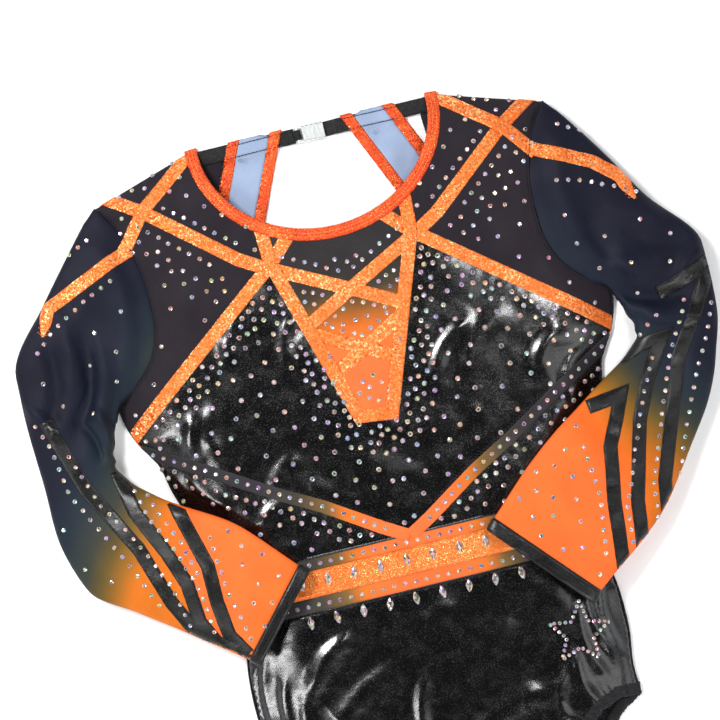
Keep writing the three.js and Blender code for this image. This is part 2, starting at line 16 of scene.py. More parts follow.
import bpy
import numpy as np
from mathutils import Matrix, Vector
from mathutils.bvhtree import BVHTree
from mathutils.geometry import delaunay_2d_cdt


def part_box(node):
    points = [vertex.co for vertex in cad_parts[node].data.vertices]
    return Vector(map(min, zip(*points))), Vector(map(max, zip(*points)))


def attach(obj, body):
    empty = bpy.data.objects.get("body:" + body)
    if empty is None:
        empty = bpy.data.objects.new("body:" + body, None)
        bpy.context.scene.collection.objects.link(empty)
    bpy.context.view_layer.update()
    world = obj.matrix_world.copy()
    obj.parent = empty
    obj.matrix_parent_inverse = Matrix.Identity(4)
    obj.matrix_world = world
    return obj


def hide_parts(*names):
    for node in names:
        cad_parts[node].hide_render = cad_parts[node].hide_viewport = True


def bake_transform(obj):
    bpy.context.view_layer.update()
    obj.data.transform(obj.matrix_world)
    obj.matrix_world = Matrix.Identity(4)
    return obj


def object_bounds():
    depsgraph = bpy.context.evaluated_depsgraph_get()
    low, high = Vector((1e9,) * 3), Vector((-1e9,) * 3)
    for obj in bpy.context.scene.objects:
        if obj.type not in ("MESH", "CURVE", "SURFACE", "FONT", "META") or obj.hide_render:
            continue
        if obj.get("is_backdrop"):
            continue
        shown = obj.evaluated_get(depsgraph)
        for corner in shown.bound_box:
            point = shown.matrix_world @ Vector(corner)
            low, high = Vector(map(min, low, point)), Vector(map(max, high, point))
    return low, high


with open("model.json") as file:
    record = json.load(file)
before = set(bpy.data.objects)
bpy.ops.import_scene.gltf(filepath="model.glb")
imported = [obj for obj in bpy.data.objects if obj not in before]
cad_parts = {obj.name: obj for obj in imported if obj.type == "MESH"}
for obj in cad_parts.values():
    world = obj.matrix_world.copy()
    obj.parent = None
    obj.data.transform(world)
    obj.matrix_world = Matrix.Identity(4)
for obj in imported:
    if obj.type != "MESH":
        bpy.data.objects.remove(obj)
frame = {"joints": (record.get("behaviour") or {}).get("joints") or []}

logging.basicConfig(level=logging.INFO, format="%(message)s")
LOG = logging.getLogger("uniform")

Point = tuple[float, float]
Colour = tuple[float, float, float]
Line = Sequence[Point]
Surface = Callable[[np.ndarray], np.ndarray]

# ---- Pattern of the uniform, left half, in millimetres -------------------------------------------

MM = 0.001
ELASTIC_Y = -5.0
ELASTIC_WIDE = 10.5
CLOTH = 1.2
CLOTH_THICK = 0.8
TAPE_WIDE = 9.5
STRIP_WIDE = 9.0
SEAM_HEIGHT = 1.5
FRONT_LOFT = 15.0
SIDE_RUN, SHOULDER_RUN, CROTCH_RUN = 46.0, 40.0, 60.0
CROTCH_Y = -565.0
NECK = (82.0, 73.0)
NECK_BINDING_WIDE = 8.5
WAIST_TOP, BAND_TOP, BAND_BOTTOM, WAIST_BOTTOM = -294.0, -302.0, -320.5, -330.5
# A trim 8 mm wide.
NARROW_STRIP = "waist_strip_upper"
LEG_ELASTIC_WIDE = 8.0
FOIL_STRIPE_WIDE = 10.0
SHOULDER: Line = ((90, 0), (160, -22))
ARMHOLE_KEYS: Line = ((160, -22), (148, -41), (139, -67), (136.5, -97), (138, -115), (146, -135),
                      (160, -150), (177, -161))
SIDE_SEAM: Line = ((177, -161), (176, -170), (170, -188), (159, -206), (154, -227), (143, -258),
                   (130, -290), (126, -312), (128, -335), (132.5, -365), (133, -395), (130, -420),
                   (131, -440))
FRONT_LEG: Line = ((131, -440), (116, -438), (101, -443), (90, -452), (76, -470), (62, -492),
                   (50, -516), (40, -540), (33, CROTCH_Y))
BACK_LEG: Line = ((131, -440), (116, -449), (103, -463), (90, -481), (76, -502), (62, -524),
                  (48, -545), (33, CROTCH_Y))
NODE: Point = (50, -89)
V_LINE: Line = ((51.4, -55), NODE, (10.8, -209))
YOKE_LINE: Line = ((178, -188.6), (65, -100.5), NODE)
YOKE_TAPE: Line = ((178, -188.6), (65, -100.5), NODE, (34, -73), (31.5, -70.5))
CROSS_TAPE: Line = ((156, -14), (127.7, -33), (71, -80.5), (55, -90), (0, -118.3), (-33.5, -136.2))
SHOULDER_TAPE: Line = ((88.5, -0.5), (112.5, -20), (128, -32), (147, -57))
LATTICE_TAPE: Line = ((33.5, -142.1), (-22.5, -172.8))
STRIP_LINE: Line = ((174, -191.5), (129, -216.5), (84, -244), (54, -260.5), (17, -284.5), (0, -294.4))
V_TAPE: Line = ((51.2, -61), NODE, (8.0, -208.5), (-14.7, -205.8), (-50, -89), (-51.2, -61))
BACK_STRAP: Line = ((39.5, 3), (110, -156.5))
STRAP_CLOTH, STRAP_BINDING = 19.0, 8.0
BACK_TOP = -154.0
BACK_TOP_EDGE: Line = ((215, -154), (74, -154), (50, -165), (0, -170))
BACK_YOKE_EDGE = {1: ((96, 20), (76, -12), (79, -60), (100, -154)),
                  -1: ((96, 20), (58, -6), (79, -60), (100, -154))}
STONE, SMALL_STONE = 1.8, 1.65
STAR_MIDDLE: Point = (98.5, -387.5)
STAR_REACH = 22.0
FOLD_GAIN, SLEEVE_GAIN = 1.3, 1.5


class Side(Enum):
    """The wearer's side, and the sign of x there."""

    LEFT = 1
    RIGHT = -1

    @property
    def label(self) -> str:
        """The word that piece names end in.

        Returns:
            "left" or "right".
        """
        return self.name.lower()

    def line(self, points: Line) -> list[Point]:
        """Puts a line of the left half on this side.

        Args:
            points: the line on the left half.

        Returns:
            The same line on this side.
        """
        return [(self.value * x, y) for x, y in points]


class Grain(Enum):
    """The kinds of cloth surface a finish can have."""

    KNIT = "knit"
    MESH = "mesh"
    FOIL = "foil"
    GLITTER = "glitter"
    RIB = "rib"


# ---- Colours ----------------------------------------------------------------------------------------


def tone(code: str) -> Colour:
    """Turns a colour code into linear light.

    Args:
        code: six hexadecimal digits.

    Returns:
        Linear red, green and blue.
    """
    parts = [int(code[i:i + 2], 16) / 255 for i in (0, 2, 4)]
    red, green, blue = [c / 12.92 if c <= 0.04045 else ((c + 0.055) / 1.055) ** 2.4 for c in parts]
    return red, green, blue


@dataclass(frozen=True)
class Gradient:
    """A printed run of colours."""

    stops: tuple[tuple[float, str], ...]

    def at(self, places: np.ndarray) -> np.ndarray:
        """Reads colours off the run.

        Args:
            places: where on the run, one number a point.

        Returns:
            An array of linear colours.
        """
        keys = [place for place, _ in self.stops]
        rows = np.array([tone(code) for _, code in self.stops])
        return np.stack([np.interp(places, keys, rows[:, i]) for i in range(3)], axis=1)


SLEEVE_RUN = Gradient(((0.0, "0b0d1e"), (0.22, "0f1324"), (0.38, "19242e"), (0.50, "30342c"),
                       (0.60, "5c4a1e"), (0.70, "8f5c18"), (0.80, "c66614"), (0.90, "e9641f"),
                       (1.0, "f06a2c")))
INSERT_RUN = Gradient(((-165, "f3692e"), (-152, "e86a1c"), (-143, "c05f0a"), (-131, "7a4c14"),
                       (-120, "3a2e18"), (-108, "1f1a18"), (-90, "1a161a")))
STRIP_RUN = Gradient(((30, "f3692c"), (46, "cf6914"), (58, "6f5222"), (76, "37332a"),
                      (95, "26232a"), (180, "1c1a1f")))


# ---- Plan geometry -----------------------------------------------------------------------------------


def polyline(points: Line, step: float) -> np.ndarray:
    """Adds points along a line, and keeps its corners.

    Args:
        points: the line's corners.
        step: about how far apart the points are.

    Returns:
        The points as an array of x, y rows.
    """
    keys = np.array(points, float)
    rows = [keys[:1]]
    for a, b in zip(keys[:-1], keys[1:]):
        count = max(1, round(float(np.linalg.norm(b - a)) / step))
        rows.append(a + (b - a) * (np.arange(1, count + 1) / count)[:, None])
    return np.concatenate(rows)


def smooth_table(keys: np.ndarray, values: np.ndarray, places: np.ndarray,
                 calm: bool = False) -> np.ndarray:
    """Runs a smooth curve through a table of values.

    Args:
        keys: rising key positions.
        values: one row of values a key.
        places: where to read the curve.
        calm: whether the curve must not swing past its table.

    Returns:
        One row of values a place.
    """
    slopes = np.gradient(values, keys, axis=0)
    if calm:
        steps = np.diff(values, axis=0) / np.diff(keys)[:, None]
        same = steps[1:] * steps[:-1] > 0
        total = steps[1:] + steps[:-1]
        slopes[1:-1] = np.where(same, 2 * steps[1:] * steps[:-1] / np.where(same, total, 1), 0)
        slopes[0], slopes[-1] = steps[0], steps[-1]
    i = np.clip(np.searchsorted(keys, places, side="right") - 1, 0, len(keys) - 2)
    span = (keys[i + 1] - keys[i])[:, None]
    t = (places - keys[i])[:, None] / span
    h00, h10 = 2 * t**3 - 3 * t**2 + 1, t**3 - 2 * t**2 + t
    h01, h11 = -2 * t**3 + 3 * t**2, t**3 - t**2
    return h00 * values[i] + h10 * span * slopes[i] + h01 * values[i + 1] + h11 * span * slopes[i + 1]


def smooth_line(points: Line, step: float) -> np.ndarray:
    """Runs a smooth curve through a line's points.

    Args:
        points: the points.
        step: about how far apart the curve's points are.

    Returns:
        The curve's points.
    """
    keys = np.array(points, float)
    run = np.concatenate([[0], np.cumsum(np.linalg.norm(np.diff(keys, axis=0), axis=1))])
    return smooth_table(run, keys, np.linspace(0, run[-1], max(3, round(run[-1] / step) + 1)))


def to_segments(xy: np.ndarray, line: Line) -> tuple[np.ndarray, np.ndarray]:
    """Measures points against a line.

    Args:
        xy: the points.
        line: the line's corners.

    Returns:
        Each point's distance from the line, and how far along the line its nearest place is.
    """
    keys = np.array(line, float)
    best = np.full(len(xy), np.inf)
    along = np.zeros(len(xy))
    run = 0.0
    for a, b in zip(keys[:-1], keys[1:]):
        d = b - a
        length = float(np.linalg.norm(d))
        t = np.clip(((xy - a) @ d) / length**2, 0, 1)
        far = np.linalg.norm(xy - (a + t[:, None] * d), axis=1)
        nearer = far < best
        best[nearer] = far[nearer]
        along[nearer] = run + t[nearer] * length
        run += length
    return best, along


def inside(xy: np.ndarray, outline: Line) -> np.ndarray:
    """Tests which points are in an outline.

    Args:
        xy: the points.
        outline: the outline's corners.

    Returns:
        True for each point in it.
    """
    x, y = xy[:, 0], xy[:, 1]
    found = np.zeros(len(xy), bool)
    corners = list(outline)
    for (x0, y0), (x1, y1) in zip(corners, corners[1:] + corners[:1]):
        if y0 == y1:
            continue
        crosses = (y0 > y) != (y1 > y)
        found ^= crosses & (x < (x1 - x0) * (y - y0) / (y1 - y0) + x0)
    return found


def swell(t: np.ndarray) -> np.ndarray:
    """A quarter sine that rises from 0 to 1 and stays there.

    Args:
        t: the places.

    Returns:
        The heights.
    """
    return np.sin(np.pi / 2 * np.clip(t, 0, 1))


def ease(t: np.ndarray) -> np.ndarray:
    """A smooth step from 0 to 1.

    Args:
        t: the places.

    Returns:
        The heights.
    """
    t = np.clip(t, 0, 1)
    return t * t * (3 - 2 * t)


ARMHOLE = [tuple(p) for p in smooth_line(ARMHOLE_KEYS, 4.0)]


def body_outline(leg: Line) -> list[Point]:
    """The outline of the whole front or back.

    Args:
        leg: the left leg line.

    Returns:
        The outline, from the left shoulder round to the right one.
    """
    half = [*SHOULDER, *ARMHOLE[1:], *SIDE_SEAM[1:], *leg[1:]]
    return [*half, *[(-x, y) for x, y in reversed(half)]]


def neck_arc(grow: float, step: float = 3.0) -> list[Point]:
    """The front half of the neck line, from the left to the right.

    Args:
        grow: how far outside the neck opening it runs.
        step: about how far apart its points are.

    Returns:
        The arc's points.
    """
    across, down = NECK[0] + grow, NECK[1] + grow
    count = round(math.pi * (across + down) / 2 / step)
    turns = [-math.pi * i / count for i in range(count + 1)]
    return [(across * math.cos(turn), down * math.sin(turn)) for turn in turns]


# ---- Relief ------------------------------------------------------------------------------------------


@dataclass(frozen=True)
class Fold:
    """A soft ridge in cloth, or a furrow where it is negative."""

    start: Point
    end: Point
    wide: float
    high: float

    def lift(self, xy: np.ndarray) -> np.ndarray:
        """How far the fold lifts the cloth.

        Args:
            xy: plan points.

        Returns:
            The lift at each point.
        """
        a, d = np.array(self.start, float), np.array(self.end, float) - np.array(self.start, float)
        length = float(np.linalg.norm(d))
        u = d / length
        along = ((xy - a) @ u) / length
        across = (xy - a) @ np.array([-u[1], u[0]])
        bend = across + 0.10 * length * np.sin(np.pi * np.clip(along, 0, 1))
        width = np.where(bend > 0, self.wide, self.wide * 0.6)
        ends = ease((along + 0.25) / 0.45) * ease((1.25 - along) / 0.45)
        return self.high * np.exp(-((bend / width) ** 2)) * ends


@dataclass(frozen=True)
class Waves:
    """Gentle unevenness from a few crossing waves."""

    size: float
    high: float
    seed: int

    def lift(self, xy: np.ndarray) -> np.ndarray:
        """How far the waves lift the cloth.

        Args:
            xy: plan points.

        Returns:
            The lift at each point.
        """
        rng = random.Random(self.seed)
        total = np.zeros(len(xy))
        for _ in range(7):
            turn, phase = rng.uniform(0, math.pi), rng.uniform(0, 2 * math.pi)
            rate = 2 * math.pi / (self.size * rng.uniform(0.6, 1.7))
            reach = xy[:, 0] * math.cos(turn) + xy[:, 1] * math.sin(turn)
            total += np.sin(reach * rate + phase + 1.3 * np.sin(reach * rate * 0.37 + 2 * phase))
        return self.high * total / 3


FRONT_FOLDS = (
    Fold((-74, -112), (-96, -146), 8, 1.5), Fold((-44, -128), (-56, -156), 7, 1.2),
    Fold((-128, -180), (-133, -212), 6, 1.6), Fold((-112, -176), (-120, -206), 8, 1.1),
    Fold((-66, -222), (-84, -240), 8, 1.1), Fold((-60, -240), (-30, -262), 7, 0.9),
    Fold((-76, -248), (-98, -262), 6, 1.3), Fold((72, -158), (42, -189), 7, 1.7),
    Fold((96, -158), (62, -196), 9, 1.0), Fold((130, -180), (112, -202), 8, 1.8),
    Fold((146, -196), (128, -222), 6, 1.5), Fold((30, -232), (70, -216), 9, 0.8),
    Fold((-20, -236), (16, -252), 9, 0.8), Fold((140, -214), (132, -240), 6, 1.2),
    Fold((-140, -216), (-120, -246), 5, 1.4), Fold((-150, -212), (-140, -236), 4, 1.2),
    Fold((-60, -352), (-92, -384), 9, 2.4), Fold((-30, -380), (-78, -410), 11, 1.8),
    Fold((-126, -352), (-128, -420), 3.4, 1.5), Fold((-118, -348), (-117, -425), 3.2, 1.5),
    Fold((-110, -372), (-106, -424), 3.6, 1.4), Fold((-100, -392), (-92, -434), 4.6, 1.7),
    Fold((-84, -396), (-56, -432), 6, 1.6), Fold((-14, -392), (-20, -440), 6, 1.6),
    Fold((20, -348), (-26, -372), 12, 0.9), Fold((60, -372), (8, -402), 14, 1.2),
    Fold((66, -420), (6, -446), 12, 1.6), Fold((112, -345), (118, -408), 3.4, 1.5),
    Fold((121, -352), (126, -412), 3.0, 1.4), Fold((103, -364), (108, -420), 3.8, 1.2),
    Fold((92, -402), (98, -438), 4.0, 1.5), Fold((80, -412), (74, -446), 5, 1.3),
    Fold((-40, -446), (-22, -520), 9, 1.6), Fold((34, -452), (20, -524), 9, 1.6),
    Fold((104, -70), (120, -112), 10, 0.9), Fold((-120, -60), (-132, -108), 9, 1.3),
    Fold((-100, -84), (-122, -128), 9, 0.9), Fold((134, -128), (150, -158), 7, 1.1),
)


class FrontRelief:
    """The height of the front's cloth over the table."""

    arch = [(-100.0, 215.0), (-150.0, 192.0), *[(y, x) for x, y in SIDE_SEAM[1:]]]
    waves = (Waves(58, 0.36, 3), Waves(23, 0.1, 8))

    def __init__(self) -> None:
        """Collects the seams that draw the cloth down."""
        self.seams: list[list[Point]] = []
        for side in Side:
            self.seams += [side.line(V_LINE), side.line(YOKE_LINE), side.line(STRIP_LINE),
                           side.line(CROSS_TAPE), side.line(SHOULDER_TAPE)]
        self.legs = [side.line(FRONT_LEG) for side in Side]
        self.holes = [side.line(ARMHOLE) for side in Side]

    def rise(self, xy: np.ndarray) -> np.ndarray:
        """The height of the arched underside, as in the part.

        Args:
            xy: plan points.

        Returns:
            The height at each point.
        """
        x, y = np.abs(xy[:, 0]), xy[:, 1]
        rows = sorted(self.arch)
        edge = np.interp(y, [row[0] for row in rows], [row[1] for row in rows])
        from_shoulder = -(x - SHOULDER[0][0]) * 0.3 - (y - SHOULDER[0][1]) * 0.954
        arch = swell((edge - x) / SIDE_RUN) * swell(from_shoulder / SHOULDER_RUN)
        return SEAM_HEIGHT + FRONT_LOFT * arch * swell((y - CROTCH_Y) / CROTCH_RUN)

    def top(self, xy: np.ndarray) -> np.ndarray:
        """The height of the cloth's upper side.

        Args:
            xy: plan points.

        Returns:
            The height at each point.
        """
        rise = self.rise(xy)
        room = ease((rise - 2) / 8)
        lift = FOLD_GAIN * sum(fold.lift(xy) for fold in FRONT_FOLDS)
        lift = lift + sum(wave.lift(xy) for wave in self.waves)
        for seam in self.seams:
            far, along = to_segments(xy, seam)
            lift -= 0.7 * np.exp(-((far / 7) ** 2))
            pucker = np.sin(along * 0.83 + 1.9 * np.sin(along * 0.21))
            lift += 0.13 * pucker * np.exp(-(((far - 8) / 4) ** 2))
        for leg in self.legs:
            far, along = to_segments(xy, leg)
            gather = np.sin(along * 0.98 + 1.5 * np.sin(along * 0.17)) * np.exp(-far / 13)
            lift += 1.05 * gather * ease((rise + 3) / 8)
        for hole in self.holes:
            far, _ = to_segments(xy, hole)
            lift -= 1.6 * np.exp(-((far / 7) ** 2)) * room
        flat = (xy[:, 1] < -285) & (xy[:, 1] > -350)
        lift = np.where(flat, np.minimum(lift, 1.2), lift)
        return rise + CLOTH + lift * (0.35 + 0.65 * room)


RELIEF = FrontRelief()


def keep_on_cloth(xy: np.ndarray) -> np.ndarray:
    """Cuts off what would hang over the shoulder line or the side seam.

    Args:
        xy: plan points of a tape.

    Returns:
        The points, moved back to the cloth's edge where they were past it.
    """
    xy = xy.copy()
    sign = np.sign(xy[:, 0])
    past = np.maximum((np.abs(xy[:, 0]) - SHOULDER[0][0]) * 0.3 + xy[:, 1] * 0.954 - 0.3, 0)
    past = np.where(np.abs(xy[:, 0]) > 84, past, 0)
    xy[:, 0] -= sign * past * 0.3
    xy[:, 1] -= past * 0.954
    rows = sorted((y, x) for x, y in SIDE_SEAM)
    edge = np.interp(xy[:, 1], [r[0] for r in rows], [r[1] for r in rows]) + 0.4
    low = xy[:, 1] < -150
    xy[:, 0] = np.where(low, sign * np.minimum(np.abs(xy[:, 0]), edge), xy[:, 0])
    return xy


def tape_cover(xy: np.ndarray, laid: Iterable[tuple[Line, float]]) -> np.ndarray:
    """How high the tapes already sewn on stand under a new one.

    Args:
        xy: plan points.
        laid: each lower tape's line and width.

    Returns:
        The extra height at each point.
    """
    total = np.zeros(len(xy))
    for line, wide in laid:
        far, _ = to_segments(xy, line)
        total += 0.5 * ease((wide / 2 + 1.6 - far) / 2.4)
    return total


# ---- Meshes -------------------------------------------------------------------------------------------


def frame_origin() -> Vector:
    """Finds the middle of the neck line in the row frame.

    Returns:
        That point, in metres.
    """
    low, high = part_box("neck_elastic_left")
    return Vector((0.0, (low.y + high.y) / 2 - ELASTIC_Y * MM, 0.0))


ORIGIN = frame_origin()


@dataclass
class Shape:
    """Vertices in millimetres and faces, gathered before they become one object."""

    verts: list[np.ndarray] = field(default_factory=list)
    faces: list[tuple[int, ...]] = field(default_factory=list)
    tints: list[np.ndarray] = field(default_factory=list)
    facets: list[Colour] = field(default_factory=list)
    count: int = 0

    def add(self, verts: np.ndarray, faces: Iterable[Sequence[int]],
            tints: np.ndarray | None = None) -> "Shape":
        """Adds a closed or open surface.

        Args:
            verts: x, y, z rows.
            faces: each face's rows in verts.
            tints: a printed colour a row, if the cloth is printed.

        Returns:
            This shape.
        """
        base = self.count
        self.verts.append(np.asarray(verts, float))
        self.faces.extend(tuple(base + int(i) for i in face) for face in faces)
        if tints is not None:
            self.tints.append(tints)
        self.count += len(verts)
        return self

    def grid(self, rows: np.ndarray, closed: bool = True, tints: np.ndarray | None = None) -> "Shape":
        """Adds a skin over rows of points.

        Args:
            rows: an array of rows, each of points with x, y, z.
            closed: whether each row closes into a ring, with both ends of the skin capped.
            tints: printed colours in the same layout.

        Returns:
            This shape.
        """
        high, wide = rows.shape[:2]
        span = wide if closed else wide - 1
        faces = [(r * wide + c, r * wide + (c + 1) % wide, (r + 1) * wide + (c + 1) % wide,
                  (r + 1) * wide + c) for r in range(high - 1) for c in range(span)]
        if closed:
            faces.append(tuple(reversed(range(wide))))
            faces.append(tuple((high - 1) * wide + c for c in range(wide)))
        return self.add(rows.reshape(-1, 3), faces, None if tints is None else tints.reshape(-1, 3))

    def build(self, name: str, material: bpy.types.Material, smooth: bool = True) -> bpy.types.Object:
        """Makes the object, in metres of the row frame.

        Args:
            name: the object's name.
            material: its material.
            smooth: whether its faces are smooth shaded.

        Returns:
            The object.
        """
        mesh = bpy.data.meshes.new(name)
        co = np.concatenate(self.verts) * MM + np.array(ORIGIN)
        mesh.from_pydata(co.tolist(), [], self.faces)
        mesh.materials.append(material)
        if self.tints:
            rgba = np.ones((len(co), 4), np.float32)
            rgba[:, :3] = np.concatenate(self.tints)
            layer = mesh.attributes.new("print", "FLOAT_COLOR", "POINT")
            layer.data.foreach_set("color", rgba.ravel())
        if self.facets:
            rgba = np.ones((len(self.facets), 4), np.float32)
            rgba[:, :3] = self.facets
            layer = mesh.attributes.new("facet", "FLOAT_COLOR", "FACE")
            layer.data.foreach_set("color", rgba.ravel())
        mesh.polygons.foreach_set("use_smooth", [smooth] * len(mesh.polygons))
        mesh.update()
        mesh.validate(clean_customdata=False)
        obj = bpy.data.objects.new(name, mesh)
        bpy.context.scene.collection.objects.link(obj)
        LOG.info("%-34s %7d faces", name, len(mesh.polygons))
        return obj


def slab(xy: np.ndarray, triangles: np.ndarray, top: np.ndarray, thick: float,
         tints: np.ndarray | None = None) -> Shape:
    """A sheet of cloth with both faces and its cut edge.

    Args:
        xy: plan points.
        triangles: the sheet's triangles, anticlockwise from above.
        top: the height of each point's upper side.
        thick: the cloth's thickness.
        tints: printed colours, one a point.

    Returns:
        The closed sheet.
    """
    used, compact = np.unique(triangles, return_inverse=True)
    tris = compact.reshape(-1, 3)
    xy, top = xy[used], top[used]
    n = len(xy)
    upper = np.column_stack([xy, top])
    lower = np.column_stack([xy, top - thick])
    edges: dict[tuple[int, int], int] = {}
    for a, b, c in tris:
        for edge in ((a, b), (b, c), (c, a)):
            edges[edge] = edges.get(edge, 0) + 1
    rim = [(a, b) for a, b in edges if (b, a) not in edges]
    faces = [tuple(t) for t in tris] + [(c + n, b + n, a + n) for a, b, c in tris]
    faces += [(b, a, a + n, b + n) for a, b in rim]
    both = None if tints is None else np.concatenate([tints[used]] * 2)
    return Shape().add(np.concatenate([upper, lower]), faces, both)


@dataclass
class Tessellation:
    """Triangles over an outline that keep to its seams."""

    xy: np.ndarray
    tris: np.ndarray

    @classmethod
    def over(cls, outline: Line, seams: Iterable[Line], step: float) -> "Tessellation":
        """Fills an outline with even triangles.

        Args:
            outline: the closed outline.
            seams: lines that triangles must not cross.
            step: about how long a triangle's side is.

        Returns:
            The triangles.
        """
        rim = polyline([*outline, outline[0]], step)[:-1]
        points, edges = [rim], [(i, (i + 1) % len(rim)) for i in range(len(rim))]
        count = len(rim)
        near = [list(map(tuple, rim)) + [tuple(rim[0])]]
        for seam in seams:
            run = polyline(seam, step)
            points.append(run)
            edges += [(count + i, count + i + 1) for i in range(len(run) - 1)]
            count += len(run)
            near.append(list(seam))
        low, high = rim.min(0), rim.max(0)
        rows = np.arange(low[1], high[1], step * 0.866)
        hexes = np.concatenate([np.column_stack([np.arange(low[0] + (i % 2) * step / 2, high[0], step),
                                np.full(len(np.arange(low[0] + (i % 2) * step / 2, high[0], step)), y)])
                                for i, y in enumerate(rows)])
        hexes = hexes[inside(hexes, [tuple(p) for p in rim])]
        for line in near:
            hexes = hexes[to_segments(hexes, line)[0] > 0.45 * step]
        points.append(hexes)
        flat = [Vector(p) for p in np.concatenate(points)]
        verts, _, faces, *_ = delaunay_2d_cdt(flat, edges, [], 1, 1e-4)
        return cls(np.array([tuple(v) for v in verts]), np.array([tuple(f) for f in faces if len(f) == 3]))

    def middles(self) -> np.ndarray:
        """The middle of each triangle.

        Returns:
            Plan points.
        """
        return self.xy[self.tris].mean(1)

    def area(self, chosen: np.ndarray) -> tuple[float, float, float]:
        """Measures a panel flat.

        Args:
            chosen: True for each triangle of the panel.

        Returns:
            Its width, length and area, in metres and square metres.
        """
        a, b, c = (self.xy[self.tris[chosen][:, i]] for i in range(3))
        ab, ac = b - a, c - a
        area = float(np.abs(ab[:, 0] * ac[:, 1] - ab[:, 1] * ac[:, 0]).sum() / 2)
        box = np.ptp(self.xy[np.unique(self.tris[chosen])], axis=0)
        return float(box[0]) * MM, float(box[1]) * MM, area * MM * MM


@dataclass
class Ribbon:
    """A band of even width along a line with corners."""

    line: Line
    wide: float
    step: float = 2.0

    def __post_init__(self) -> None:
        """Works out both edges, mitred at the corners."""
        keys = np.array(self.line, float)
        heads = np.diff(keys, axis=0)
        heads /= np.linalg.norm(heads, axis=1)[:, None]
        before = np.concatenate([heads[:1], heads])
        after = np.concatenate([heads, heads[-1:]])
        along = before + after
        along /= np.linalg.norm(along, axis=1)[:, None]
        reach = 1 / (along * after).sum(1)
        self.across = np.column_stack([-along[:, 1], along[:, 0]]) * reach[:, None]
        self.keys = keys
        lengths = np.linalg.norm(np.diff(keys, axis=0), axis=1)
        self.run = np.concatenate([[0], np.cumsum(lengths)])
        self.length = float(self.run[-1])

    def at(self, places: np.ndarray, offset: np.ndarray | float) -> np.ndarray:
        """Finds plan points on the band.

        Args:
            places: how far along the line.
            offset: how far to the left of the line.

        Returns:
            The points.
        """
        middle = np.stack([np.interp(places, self.run, self.keys[:, i]) for i in (0, 1)], axis=1)
        side = np.stack([np.interp(places, self.run, self.across[:, i]) for i in (0, 1)], axis=1)
        return middle + side * np.reshape(offset, (-1, 1))

    def stations(self) -> np.ndarray:
        """Places along the line, with every corner among them.

        Returns:
            The places.
        """
        even = np.linspace(0, self.length, max(3, round(self.length / self.step) + 1))
        return np.unique(np.round(np.concatenate([even, self.run]), 3))


CROWN = ((-0.5, 0.0), (-0.47, 0.36), (-0.36, 0.5), (-0.18, 0.46), (0.0, 0.5), (0.18, 0.46),
         (0.36, 0.5), (0.47, 0.36), (0.5, 0.0))


def lay_tape(shape: Shape, ribbon: Ribbon, surface: Surface,
             high: float = 1.0, crown: Sequence[Point] = CROWN, ripple: float = 0.05,
             sink: float = 0.5, taper: float = 0.0) -> Shape:
    """Sews a tape onto a surface.

    Args:
        shape: where the tape goes.
        ribbon: the tape's band.
        surface: gives x, y, z on the surface for plan points.
        high: the tape's height as a share of the crown's.
        crown: the tape's section as places across and heights.
        ripple: how far its edges wander.
        sink: how far its underside goes into the cloth.
        taper: over what length its far end narrows.

    Returns:
        The shape.
    """
    places = ribbon.stations()
    narrow = np.clip(0.2 + (ribbon.length - places) / taper, 0, 1) if taper else 1.0
    columns = []
    for place, lift in crown:
        wander = ripple * np.sin(places * 1.9 + place * 7) + ripple * np.sin(places * 0.7 + 3 * place)
        points = surface(ribbon.at(places, place * ribbon.wide * narrow + wander * (abs(place) > 0.4)))
        points[:, 2] += lift * high + 0.5 * wander * (abs(place) < 0.45)
        columns.append(points)
    for column in (columns[-1], columns[0]):
        under = column.copy()
        under[:, 2] -= sink
        columns.append(under)
    return shape.grid(np.stack(columns, axis=1)[:, ::-1])


def thread(shape: Shape, path: np.ndarray, radius: float, sides: int = 5) -> Shape:
    """Adds a round thread along a path.

    Args:
        shape: where the thread goes.
        path: x, y, z rows.
        radius: the thread's radius.
        sides: the sides of its section.

    Returns:
        The shape.
    """
    heading = np.gradient(path, axis=0)
    heading /= np.linalg.norm(heading, axis=1)[:, None] + 1e-9
    side = np.cross(heading, [0.0, 0.0, 1.0])
    side /= np.linalg.norm(side, axis=1)[:, None] + 1e-9
    up = np.cross(side, heading)
    turns = np.arange(sides) * 2 * np.pi / sides
    rings = path[:, None] + radius * (np.cos(turns)[None, :, None] * side[:, None]
                                      + np.sin(turns)[None, :, None] * up[:, None])
    return shape.grid(rings)


def zigzag(shape: Shape, ribbon: Ribbon, surface: Surface, low: float,
           high: float, pitch: float = 1.35, radius: float = 0.2, lift: float = 0.5) -> Shape:
    """Sews a zigzag row along a tape.

    Args:
        shape: where the thread goes.
        ribbon: the tape's band.
        surface: gives x, y, z on the surface for plan points.
        low: the row's one side, as an offset from the tape's line.
        high: the row's other side.
        pitch: how far apart its corners are.
        radius: the thread's radius.
        lift: the thread's height over the surface.

    Returns:
        The shape.
    """
    places = np.arange(0.6, ribbon.length - 0.6, pitch)
    offsets = np.where(np.arange(len(places)) % 2 == 0, low, high)
    path = surface(ribbon.at(places, offsets))
    path[:, 2] += lift
    return thread(shape, path, radius, 4)


